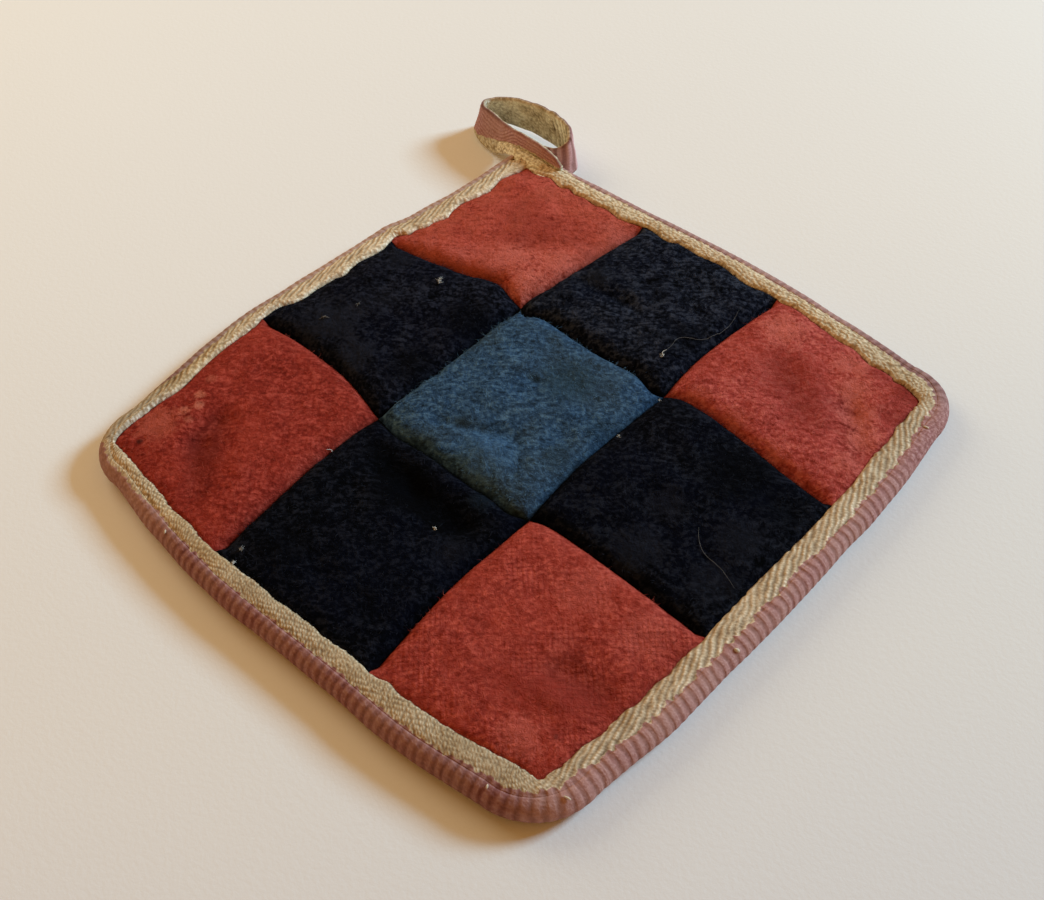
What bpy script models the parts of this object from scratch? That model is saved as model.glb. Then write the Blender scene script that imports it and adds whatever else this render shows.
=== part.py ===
"""Quilted pot holder: a filled nine-patch pad, the twill tape bound round its edge, and its hanging loop.

Sizes are in millimetres, and the meshes are written in metres. +Z is up. The flat underside lies on
Z = 0 with the origin under the middle of the nine-patch field. The hanging loop leaves the far left
corner, at -X and +Y, and the sides of the square run along X and Y.

A place on the square is given by its inset, the distance in from the finished outer edge. The sides
bulge unevenly, the seams wander a little, and each patch crowns between its seams.
"""

import math
from collections import namedtuple

import bmesh
import bpy
from mathutils import Vector

# ---------------------------------------------------------------------------- driving sizes, in mm

METRES = 0.001

TAPE_THICKNESS = 1.2       # the woven tape, one layer
SEWN_GAP = 0.3             # left between pieces that are sewn together
RIM_HEIGHT = 7.2           # the bound edge, from its underside to its top
MARGIN_DIP = 0.2           # how far the tape's top margin sinks towards its inner edge
UNDER_MARGIN = 6.8         # how far in the tape reaches on the underside
UNDER_STEP = 1.2           # width of the slope from the tucked edge of the pad down to its underside

SEAM_HEIGHT = 6.2          # bottom of the sewn channels above the underside
CHANNEL_SHARPNESS = 4.0    # a higher number keeps a patch flat further towards its seams
CHANNEL_ROUNDNESS = 0.6    # a lower number gives it steeper shoulders

STEPS_PER_PATCH = 9        # mesh cells across one patch
RIM_STEPS = 4              # mesh cells round the inside of the rim
OUTER_RIM_STEPS = 5        # mesh cells round its outside
LOOP_STEPS = 4             # mesh cells between two rows of the loop's route

LOOP_THICKNESS = 1.8       # the tape of the loop, folded edges included
LOOP_EDGE = 0.5            # height of the rounding along its two edges

# The finished outer edge of each side, as its distance from the centre at seven places from the low
# end of the side to its high end, and how far in the tape's top margin reaches near each end. The far
# and near sides face +Y and -Y and run along X; the right and left ones face +X and -X, along Y.
Side = namedtuple(
    "Side",
    "low_corner low_patch low_seam middle high_seam high_patch high_corner low_margin high_margin",
)
SIDES = {
    "far": Side(82.7, 82.7, 83.1, 83.5, 82.5, 80.7, 78.2, 8.9, 8.4),
    "near": Side(80.2, 83.6, 85.4, 85.2, 84.6, 84.3, 81.6, 7.6, 10.0),
    "right": Side(79.4, 81.8, 82.1, 82.3, 82.1, 81.4, 79.1, 9.2, 9.2),
    "left": Side(79.6, 83.0, 85.3, 84.0, 83.0, 80.0, 78.1, 7.6, 9.7),
}
SIDE_PLACES = (-62.0, -42.0, -22.0, 0.0, 22.0, 42.0, 62.0)

# The four seams at seven places from their low end to their high end: x of the two seams that run
# along Y, and y of the two that run along X.
Seam = namedtuple("Seam", "low_end low_patch low_crossing middle high_crossing high_patch high_end")
SEAMS = {
    "left": Seam(-25.3, -28.6, -29.4, -28.4, -28.8, -26.8, -24.4),
    "right": Seam(25.8, 23.0, 23.5, 20.9, 21.8, 20.7, 23.4),
    "near": Seam(-19.7, -19.8, -23.4, -24.2, -22.8, -22.2, -22.8),
    "far": Seam(24.6, 28.8, 29.4, 28.0, 29.4, 28.1, 25.2),
}
SEAM_PLACES = (-74.0, -48.0, -28.0, 0.0, 26.0, 48.0, 74.0)

# Radius of each outer corner, by the signs of x and y there.
CORNER_RADIUS = {(-1, 1): 4.0, (1, 1): 15.0, (1, -1): 17.0, (-1, -1): 15.0}
LEAST_RADIUS = 2.0         # of an outline inset from a corner

# How far each patch crowns above its seams, from the near row to the far row and left to right.
CROWNS = (
    (1.7, 2.1, 1.9),
    (2.0, 2.4, 2.1),
    (1.8, 2.0, 1.8),
)

# Soft folds in the filled cloth: from one point to another, how far they spread to each side and how
# much they raise (or, if negative, sink) the surface.
Fold = namedtuple("Fold", "x0 y0 x1 y1 spread rise")
FOLDS = (
    Fold(-13.0, -33.0, 17.0, -35.0, 5.0, -1.3),
    Fold(-16.0, -15.0, 5.0, -8.0, 4.5, -0.7),
    Fold(-56.0, -52.0, -44.0, -66.0, 5.0, -0.9),
    Fold(57.0, 53.0, 71.0, 43.0, 5.0, -0.8),
    Fold(53.0, -43.0, 70.0, -52.0, 5.0, -0.8),
    Fold(-57.0, 33.0, -32.0, 50.0, 6.0, 0.7),
)

# The loop's route, from its root on top of the rim, out past the corner, round and back to the side
# of the rim: the middle of the tape seen from above, the heights of its lower and upper edge, and how
# far its upper edge leans outwards, in degrees.
Station = namedtuple("Station", "x y bottom top lean")
LOOP_ROUTE = (
    Station(-60.0, 79.4, 7.5, 9.1, 0.0),
    Station(-66.0, 79.6, 7.5, 10.4, 0.0),
    Station(-72.0, 79.8, 7.5, 11.8, 0.0),
    Station(-77.6, 80.0, 7.5, 12.4, -4.0),
    Station(-81.0, 80.0, 3.6, 12.4, -9.0),
    Station(-85.0, 80.0, 1.3, 12.4, -13.0),
    Station(-90.0, 80.8, 0.9, 12.2, -16.0),
    Station(-95.5, 82.6, 1.0, 11.6, -18.0),
    Station(-98.6, 85.6, 1.2, 11.0, -16.0),
    Station(-98.0, 89.2, 1.2, 10.8, -10.0),
    Station(-93.5, 92.0, 1.2, 11.2, -4.0),
    Station(-87.0, 93.2, 1.4, 12.2, 0.0),
    Station(-80.0, 93.7, 1.4, 12.8, 0.0),
    Station(-73.0, 93.2, 1.2, 13.0, 0.0),
    Station(-66.5, 91.4, 0.7, 13.0, -4.0),
    Station(-62.6, 88.0, 0.6, 12.4, -6.0),
    Station(-63.4, 85.2, 0.6, 10.5, -4.0),
    Station(-67.0, 84.0, 0.8, 8.6, 0.0),
    Station(-70.5, 83.9, 1.2, 7.8, 0.0),
)

RIM_RADIUS = RIM_HEIGHT / 2
TAPE_INSIDE = RIM_RADIUS - TAPE_THICKNESS
PAD_RIM_RADIUS = TAPE_INSIDE - SEWN_GAP
PAD_EDGE_TOP = RIM_HEIGHT - TAPE_THICKNESS - SEWN_GAP
PAD_EDGE_BOTTOM = TAPE_THICKNESS + SEWN_GAP


# ---------------------------------------------------------------------------- curves


def hermite(places, values, place):
    """The smooth curve through the values at the places, held level past both ends."""
    place = min(max(place, places[0]), places[-1])
    last = len(places) - 1
    slopes = []
    for index in range(last + 1):
        before, after = max(index - 1, 0), min(index + 1, last)
        slopes.append((values[after] - values[before]) / (places[after] - places[before]))
    low = max(index for index in range(last) if places[index] <= place)
    width = places[low + 1] - places[low]
    t = (place - places[low]) / width
    return (
        (2 * t**3 - 3 * t**2 + 1) * values[low]
        + (t**3 - 2 * t**2 + t) * width * slopes[low]
        + (3 * t**2 - 2 * t**3) * values[low + 1]
        + (t**3 - t**2) * width * slopes[low + 1]
    )


def edge_distance(side, along):
    """Distance of a side's finished outer edge from the centre, at a place along the side."""
    return hermite(SIDE_PLACES, SIDES[side][: len(SIDE_PLACES)], along)


def margin(side, along):
    """How far in from the edge the tape's top margin reaches, at a place along the side."""
    values = SIDES[side]
    ends = (SIDE_PLACES[0], SIDE_PLACES[-1])
    return hermite(ends, (values.low_margin, values.high_margin), along)


def seam_place(seam, along):
    """Where a seam runs, at a place along it."""
    return hermite(SEAM_PLACES, SEAMS[seam], along)


def column_lines(y, inset):
    """x of the left outline, the left and right seams and the right outline, at one y."""
    return (
        inset("left", y) - edge_distance("left", y),
        seam_place("left", y),
        seam_place("right", y),
        edge_distance("right", y) - inset("right", y),
    )


def row_lines(x, inset):
    """y of the near outline, the near and far seams and the far outline, at one x."""
    return (
        inset("near", x) - edge_distance("near", x),
        seam_place("near", x),
        seam_place("far", x),
        edge_distance("far", x) - inset("far", x),
    )


def between(lines, step):
    """The place that many patches along a row of four lines; whole steps lie on the lines."""
    low = min(int(step), 2)
    return lines[low] + (step - low) * (lines[low + 1] - lines[low])


def round_corner(x, y, inset):
    """Draws a point in to the rounded corner nearest to it."""
    sign_x, sign_y = (1 if x > 0 else -1), (1 if y > 0 else -1)
    side_x, side_y = ("right" if x > 0 else "left"), ("far" if y > 0 else "near")
    inset_x, inset_y = inset(side_x, y), inset(side_y, x)
    radius = max(CORNER_RADIUS[(sign_x, sign_y)] - (inset_x + inset_y) / 2, LEAST_RADIUS)
    beyond_x = abs(x) - (edge_distance(side_x, y) - inset_x - radius)
    beyond_y = abs(y) - (edge_distance(side_y, x) - inset_y - radius)
    if beyond_x <= 0 or beyond_y <= 0:
        return x, y
    pull = 1 - max(beyond_x, beyond_y) / math.hypot(beyond_x, beyond_y)
    return x - sign_x * beyond_x * pull, y - sign_y * beyond_y * pull


def square_point(column, row, inset):
    """The point that many patches in from the near left corner of an inset outline."""
    x, y = 0.0, 0.0
    for _ in range(6):
        x = between(column_lines(y, inset), column)
        y = between(row_lines(x, inset), row)
    return round_corner(x, y, inset)


def outline(inset):
    """The inset outline, anticlockwise from the near left corner, with seam ends on its points."""
    count = 3 * STEPS_PER_PATCH
    steps = [3 * index / count for index in range(count)]
    near = [square_point(step, 0, inset) for step in steps]
    right = [square_point(3, step, inset) for step in steps]
    far = [square_point(3 - step, 3, inset) for step in steps]
    left = [square_point(0, 3 - step, inset) for step in steps]
    return near + right + far + left


def even(distance):
    """The same inset everywhere."""
    return lambda side, along: distance


def margin_less(distance):
    """The inset of the tape's top margin, less a small distance."""
    return lambda side, along: margin(side, along) - distance


def ring(inset, height):
    """An inset outline at one height."""
    return [Vector((x, y, height)) for x, y in outline(inset)]


def rim_arc(radius, steps, bottom_first=False):
    """Insets and heights round the rim at one radius, from its top to its bottom, ends included."""
    points = []
    for index in range(steps + 1):
        angle = math.pi * index / steps
        height = RIM_RADIUS + radius * math.cos(angle)
        points.append((RIM_RADIUS - radius * math.sin(angle), height))
    return points[::-1] if bottom_first else points


# ---------------------------------------------------------------------------- the pad's surface


def fold_rise(x, y):
    """How much the soft folds raise the cloth at one point."""
    rise = 0.0
    for fold in FOLDS:
        start, end = Vector((fold.x0, fold.y0)), Vector((fold.x1, fold.y1))
        point, run = Vector((x, y)), end - start
        share = (point - start).dot(run) / run.length_squared
        nearest = start + run * min(max(share, 0.0), 1.0)
        away = (point - nearest).length / fold.spread
        rise += fold.rise * math.exp(-away * away)
    return rise


def crown(column, row):
    """Height of the patch over its seams, from 0 on a seam to 1 over most of the patch."""
    shape = 1.0
    for place in (column, row):
        across = 2 * (place - min(int(place), 2)) - 1
        shape *= max(1 - abs(across) ** CHANNEL_SHARPNESS, 0.0) ** CHANNEL_ROUNDNESS
    return shape


def patch_height(column, row, x, y):
    """Height of the quilted top at one point of the nine-patch field."""
    edge = min(column, row, 3 - column, 3 - row)
    tucked = max(1 - edge * STEPS_PER_PATCH, 0.0)
    shape = crown(column, row)
    rise = CROWNS[min(int(row), 2)][min(int(column), 2)] + fold_rise(x, y)
    base = SEAM_HEIGHT + (PAD_EDGE_TOP - SEAM_HEIGHT) * tucked
    return base + rise * shape


# ---------------------------------------------------------------------------- meshes and materials


def woven_material(name, colour, roughness):
    """A plain cloth material with one colour."""
    material = bpy.data.materials.new(name)
    material.use_nodes = True
    shader = material.node_tree.nodes["Principled BSDF"]
    shader.inputs["Base Color"].default_value = (*colour, 1.0)
    shader.inputs["Roughness"].default_value = roughness
    shader.inputs["Metallic"].default_value = 0.0
    return material


def finish_object(name, mesh_builder, material):
    """Turns a millimetre mesh into a named object in metres, with its faces pointing out."""
    bmesh.ops.recalc_face_normals(mesh_builder, faces=mesh_builder.faces)
    bmesh.ops.scale(mesh_builder, vec=(METRES, METRES, METRES), verts=mesh_builder.verts)
    mesh = bpy.data.meshes.new(name)
    mesh_builder.to_mesh(mesh)
    mesh_builder.free()
    mesh.materials.append(material)
    mesh.shade_smooth()
    mesh.set_sharp_from_angle(angle=math.radians(40))
    body = bpy.data.objects.new(name, mesh)
    bpy.context.scene.collection.objects.link(body)
    return body


def skin(mesh_builder, rows, closed_along, closed_across):
    """Adds quads between rows of points, each row joined to the next and maybe the last to the first."""
    verts = [[mesh_builder.verts.new(point) for point in row] for row in rows]
    count = len(rows[0])
    for index in range(len(rows) if closed_across else len(rows) - 1):
        first, second = verts[index], verts[(index + 1) % len(rows)]
        for place in range(count if closed_along else count - 1):
            after = (place + 1) % count
            mesh_builder.faces.new((first[place], first[after], second[after], second[place]))
    return verts


def build_pad():
    """The filled pad: nine crowned fields on top, an edge tucked into the tape, a flat underside."""
    builder = bmesh.new()
    count = 3 * STEPS_PER_PATCH
    field = margin_less(0.0)
    grid = []
    for row_index in range(count + 1):
        row = 3 * row_index / count
        line = []
        for column_index in range(count + 1):
            column = 3 * column_index / count
            x, y = square_point(column, row, field)
            line.append(Vector((x, y, patch_height(column, row, x, y))))
        grid.append(line)
    verts = skin(builder, grid, closed_along=False, closed_across=False)

    near = verts[0][:-1]
    right = [line[-1] for line in verts[:-1]]
    far = verts[-1][:0:-1]
    left = [line[0] for line in verts[:0:-1]]
    boundary = near + right + far + left

    rings = [ring(even(inset), height) for inset, height in rim_arc(PAD_RIM_RADIUS, RIM_STEPS)]
    rings.append(ring(even(UNDER_MARGIN + SEWN_GAP), PAD_EDGE_BOTTOM))
    rings.append(ring(even(UNDER_MARGIN + SEWN_GAP + UNDER_STEP), 0.0))
    ring_verts = skin(builder, rings, closed_along=True, closed_across=False)
    for place, vert in enumerate(boundary):
        after = (place + 1) % len(boundary)
        builder.faces.new((vert, boundary[after], ring_verts[0][after], ring_verts[0][place]))
    builder.faces.new(ring_verts[-1])

    return finish_object("pad", builder, woven_material("wool_patches", (0.37, 0.04, 0.03), 0.9))


def build_binding():
    """The tape folded over the edge: top margin, rounded rim and underside margin, as one ring."""
    inner_edge = margin_less(SEWN_GAP)
    rings = [ring(inner_edge, RIM_HEIGHT - MARGIN_DIP)]
    outer = rim_arc(RIM_RADIUS, OUTER_RIM_STEPS)
    rings += [ring(even(inset), height) for inset, height in outer]
    rings.append(ring(even(UNDER_MARGIN), 0.0))
    rings.append(ring(even(UNDER_MARGIN), TAPE_THICKNESS))
    inner = rim_arc(TAPE_INSIDE, RIM_STEPS, bottom_first=True)
    rings += [ring(even(inset), height) for inset, height in inner]
    rings.append(ring(inner_edge, RIM_HEIGHT - TAPE_THICKNESS))

    builder = bmesh.new()
    skin(builder, rings, closed_along=True, closed_across=True)
    return finish_object("binding", builder, woven_material("tape_tan", (0.5, 0.37, 0.22), 0.85))


def loop_route():
    """Stations every millimetre or so along the loop, on a smooth curve through its rows."""
    stations = []
    last = len(LOOP_ROUTE) - 1
    for index in range(last):
        before = LOOP_ROUTE[max(index - 1, 0)]
        start, end = LOOP_ROUTE[index], LOOP_ROUTE[index + 1]
        after = LOOP_ROUTE[min(index + 2, last)]
        for step in range(LOOP_STEPS):
            t = step / LOOP_STEPS
            values = []
            for p0, p1, p2, p3 in zip(before, start, end, after):
                bend = 2 * p0 - 5 * p1 + 4 * p2 - p3
                twist = 3 * p1 - p0 - 3 * p2 + p3
                values.append(p1 + 0.5 * t * (p2 - p0 + t * (bend + t * twist)))
            stations.append(Station(*values))
    stations.append(LOOP_ROUTE[-1])
    return stations


def loop_section(station, heading):
    """Six points round the tape at one station: its two faces and the middles of its two edges."""
    outward = Vector((-heading.y, heading.x, 0.0)).normalized()
    middle = (station.bottom + station.top) / 2
    slope = math.tan(math.radians(station.lean))
    half = LOOP_THICKNESS / 2
    points = []
    for aside, height in (
        (-half, station.bottom + LOOP_EDGE),
        (0.0, station.bottom),
        (half, station.bottom + LOOP_EDGE),
        (half, station.top - LOOP_EDGE),
        (0.0, station.top),
        (-half, station.top - LOOP_EDGE),
    ):
        centre = Vector((station.x, station.y, height))
        points.append(centre + outward * (aside + slope * (height - middle)))
    return points


def build_hanging_loop():
    """The tape's tail, stood on edge and led round to the rim again."""
    stations = loop_route()
    sections = []
    for index, station in enumerate(stations):
        before = stations[max(index - 1, 0)]
        after = stations[min(index + 1, len(stations) - 1)]
        sections.append(loop_section(station, Vector((after.x - before.x, after.y - before.y, 0.0))))

    builder = bmesh.new()
    verts = skin(builder, sections, closed_along=True, closed_across=False)
    builder.faces.new(verts[0])
    builder.faces.new(verts[-1])
    return finish_object("hanging_loop", builder, woven_material("tape_pink", (0.36, 0.16, 0.15), 0.85))


def main():
    """Clears the scene and builds the three pieces."""
    for leftover in list(bpy.data.objects):
        bpy.data.objects.remove(leftover, do_unlink=True)
    build_pad()
    build_binding()
    build_hanging_loop()


main()
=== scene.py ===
"""Quilted pot holder: its wool patches, twill tape, loop and fibres, with a table, lights and a camera.

The tables and methods count in millimetres, and every mesh is written in metres. +Z is up, the flat
underside lies on Z = 0, and the origin is under the middle of the nine-patch field. The far side
faces +Y, the right side +X, and the hanging loop leaves the far left corner.
"""

from __future__ import annotations

import logging
import math
from dataclasses import dataclass, field, replace
from enum import Enum
from functools import lru_cache
from itertools import product
from typing import Callable, Iterable, Mapping, Sequence, Union

import bmesh
import bpy
import numpy as np
from mathutils import Matrix, Vector


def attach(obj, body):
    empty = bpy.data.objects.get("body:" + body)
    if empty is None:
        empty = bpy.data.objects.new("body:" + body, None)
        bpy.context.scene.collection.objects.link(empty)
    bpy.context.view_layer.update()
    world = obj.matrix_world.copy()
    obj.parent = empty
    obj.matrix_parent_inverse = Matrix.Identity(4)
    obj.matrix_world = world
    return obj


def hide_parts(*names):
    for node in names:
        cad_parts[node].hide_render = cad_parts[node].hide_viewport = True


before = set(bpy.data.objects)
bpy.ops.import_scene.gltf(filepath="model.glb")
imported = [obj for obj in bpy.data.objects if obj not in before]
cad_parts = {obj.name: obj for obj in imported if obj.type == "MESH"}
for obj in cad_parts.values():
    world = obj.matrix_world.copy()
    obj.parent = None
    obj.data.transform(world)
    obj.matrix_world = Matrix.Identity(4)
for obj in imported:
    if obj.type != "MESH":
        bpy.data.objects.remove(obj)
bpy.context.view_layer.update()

Array = np.ndarray
Colour = tuple[float, float, float]
Inset = Callable[[str, Array], Array]
Material, Piece = bpy.types.Material, bpy.types.Object
Notes = Mapping[str, Array]
Layers = tuple[tuple[float, float, int], ...]
log = logging.getLogger("pot_holder")

MM = 0.001
BODY = "root"
GRAIN_CELLS = 256
TINY = 1e-9
DIAGONAL = 0.7071
THIRD_TURN = 2.0944
UPRIGHT = np.array([0.0, 0.0, 1.0])


# ---- small mathematics


def smooth_curve(places: Sequence[float], values: Sequence[float], place: Array) -> Array:
    """The smooth curve through values at places, held level past both ends.

    Args:
        places: Where the values are given, in rising order.
        values: One value for each place.
        place: Where the curve is wanted.

    Returns:
        The curve's value at each place wanted.
    """
    known, value = np.asarray(places, float), np.asarray(values, float)
    before = np.r_[0, np.arange(len(known) - 1)]
    after = np.r_[np.arange(1, len(known)), len(known) - 1]
    slope = (value[after] - value[before]) / (known[after] - known[before])
    wanted = np.clip(place, known[0], known[-1])
    low = np.clip(np.searchsorted(known, wanted, side="right") - 1, 0, len(known) - 2)
    width = known[low + 1] - known[low]
    t = (wanted - known[low]) / width
    return (
        (2 * t**3 - 3 * t**2 + 1) * value[low]
        + (t**3 - 2 * t**2 + t) * width * slope[low]
        + (3 * t**2 - 2 * t**3) * value[low + 1]
        + (t**3 - t**2) * width * slope[low + 1]
    )


def ease(low: float, high: float, value: Array) -> Array:
    """A smooth step from 0 at low to 1 at high, which falls if low lies above high."""
    share = np.clip((np.asarray(value, float) - low) / (high - low), 0.0, 1.0)
    return share * share * (3 - 2 * share)


@lru_cache(maxsize=None)
def grain_table(seed: int) -> Array:
    """A square of random numbers from -1 to 1, the same for the same seed."""
    return np.random.default_rng(seed).uniform(-1.0, 1.0, (GRAIN_CELLS, GRAIN_CELLS))


def grain(x: Array, y: Array | float, size: float, seed: int) -> Array:
    """Smooth random unevenness over a plane, the same on every run.

    Args:
        x: First coordinate.
        y: Second coordinate.
        size: Distance between one random value and the next.
        seed: Which unevenness.

    Returns:
        Values from -1 to 1.
    """
    table = grain_table(seed)
    u, v = np.broadcast_arrays(np.asarray(x, float) / size, np.asarray(y, float) / size)
    i, j = np.floor(u).astype(int), np.floor(v).astype(int)
    u, v = ease(0.0, 1.0, u - i), ease(0.0, 1.0, v - j)
    i, next_i, j, next_j = (cell % GRAIN_CELLS for cell in (i, i + 1, j, j + 1))
    near = table[i, j] * (1 - u) + table[next_i, j] * u
    far = table[i, next_j] * (1 - u) + table[next_i, next_j] * u
    return near * (1 - v) + far * v


def layered(x: Array, y: Array | float, layers: Layers) -> Array:
    """The sum of layers of unevenness, each given by its depth, its size and its seed."""
    return sum(depth * grain(x, y, size, seed) for depth, size, seed in layers)


def bell(away: Array, width: float) -> Array:
    """1 at no distance, falling smoothly to about a third at one width."""
    return np.exp(-((away / width) ** 2))


def unit(rows: Array, length: float = 1.0) -> Array:
    """Rows of numbers, each brought to one length."""
    return length * rows / np.maximum(np.linalg.norm(rows, axis=1, keepdims=True), TINY)


def heading(turn: Array, rise: Array | float) -> Array:
    """Directions that go so far in plan, from their bearings, and rise so much."""
    return np.stack([np.cos(turn), np.sin(turn), rise + 0 * turn], axis=1)


def leftward(ahead: Array) -> Array:
    """Directions in plan, each turned a quarter turn to the left."""
    return np.stack([-ahead[:, 1], ahead[:, 0]], axis=1)


def beside(line: Array, way: Array, reach: Array, height: Array) -> Array:
    """Points beside a line in plan, rows by columns by three: so far along each station's way."""
    flat = line[:, None, :] + way[:, None, :] * reach[..., None]
    return np.concatenate([flat, height[..., None]], axis=-1)


def border(grid: Array) -> Array:
    """The outermost entries of a grid, once round it."""
    return np.concatenate([grid[0, :-1], grid[:-1, -1], grid[-1, :0:-1], grid[:0:-1, 0]])


def carried(notes: Notes, columns: Sequence[int]) -> Notes:
    """Notes for a grid to which copies of some of its own columns are added."""
    again = list(columns)
    return {name: np.concatenate([note, note[:, again]], axis=1) for name, note in notes.items()}


def run_lengths(points: Array) -> Array:
    """Distance along a line of points, from its first one."""
    return np.r_[0.0, np.cumsum(np.linalg.norm(np.diff(points, axis=0), axis=1))]


def spaced_evenly(points: Array, step: float) -> Array:
    """A line of points placed anew about one step apart.

    Args:
        points: The line, one point a row; any number of columns, of which the first three measure it.
        step: The distance wanted.

    Returns:
        The line's points, evenly spaced, with its ends kept.
    """
    along = run_lengths(points[:, :3])
    wanted = np.linspace(0.0, along[-1], max(int(round(along[-1] / step)), 2) + 1)
    return np.stack([np.interp(wanted, along, column) for column in points.T], axis=1)


def bend_through(points: Array, steps: int = 24) -> Array:
    """A smooth line through points.

    Args:
        points: The points, one a row, of any number of columns.
        steps: Points of the new line between one of them and the next.

    Returns:
        The new line.
    """
    padded = np.vstack([points[:1], points, points[-1:]])
    share = (np.arange(steps) / steps)[:, None]
    rows = []
    for p0, p1, p2, p3 in zip(padded, padded[1:], padded[2:], padded[3:]):
        bend, twist = 2 * p0 - 5 * p1 + 4 * p2 - p3, 3 * p1 - p0 - 3 * p2 + p3
        rows.append(p1 + 0.5 * share * (p2 - p0 + share * (bend + share * twist)))
    return np.vstack([*rows, points[-1:]])


# ---- the square's plan


@dataclass(frozen=True)
class Bump:
    """A local swelling of an edge: where, how far it spreads and how much, negative for a dent."""

    place: float
    spread: float
    rise: float


@dataclass(frozen=True)
class Side:
    """One side of the square.

    Attributes:
        edges: The finished edge's distance from the centre at seven places.
        places: Where the reach of the tape's top margin is given.
        reaches: How far in it reaches there, from the line on top of the rim, on the wool's surface.
        slack: How much less it reaches at the tape's own height.
        bulges: Where the finished edge swells or shrinks.
    """

    edges: tuple[float, ...]
    places: tuple[float, ...]
    reaches: tuple[float, ...]
    slack: float
    bulges: tuple[Bump, ...] = ()


def bumps_at(bumps: Iterable[Bump], along: Array) -> Array:
    """The sum of some bumps at places along a side."""
    return sum((bump.rise * bell(along - bump.place, bump.spread) for bump in bumps), 0 * along)


def even_inset(distance: float) -> Inset:
    """The inset of an outline that lies equally far in all the way round."""
    return lambda side, along: np.full_like(np.asarray(along, float), distance)


def from_outside(column: Array, row: Array) -> Array:
    """How many patches points lie in from the square's nearest side."""
    return np.minimum(np.minimum(column, row), np.minimum(3 - column, 3 - row))


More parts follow.
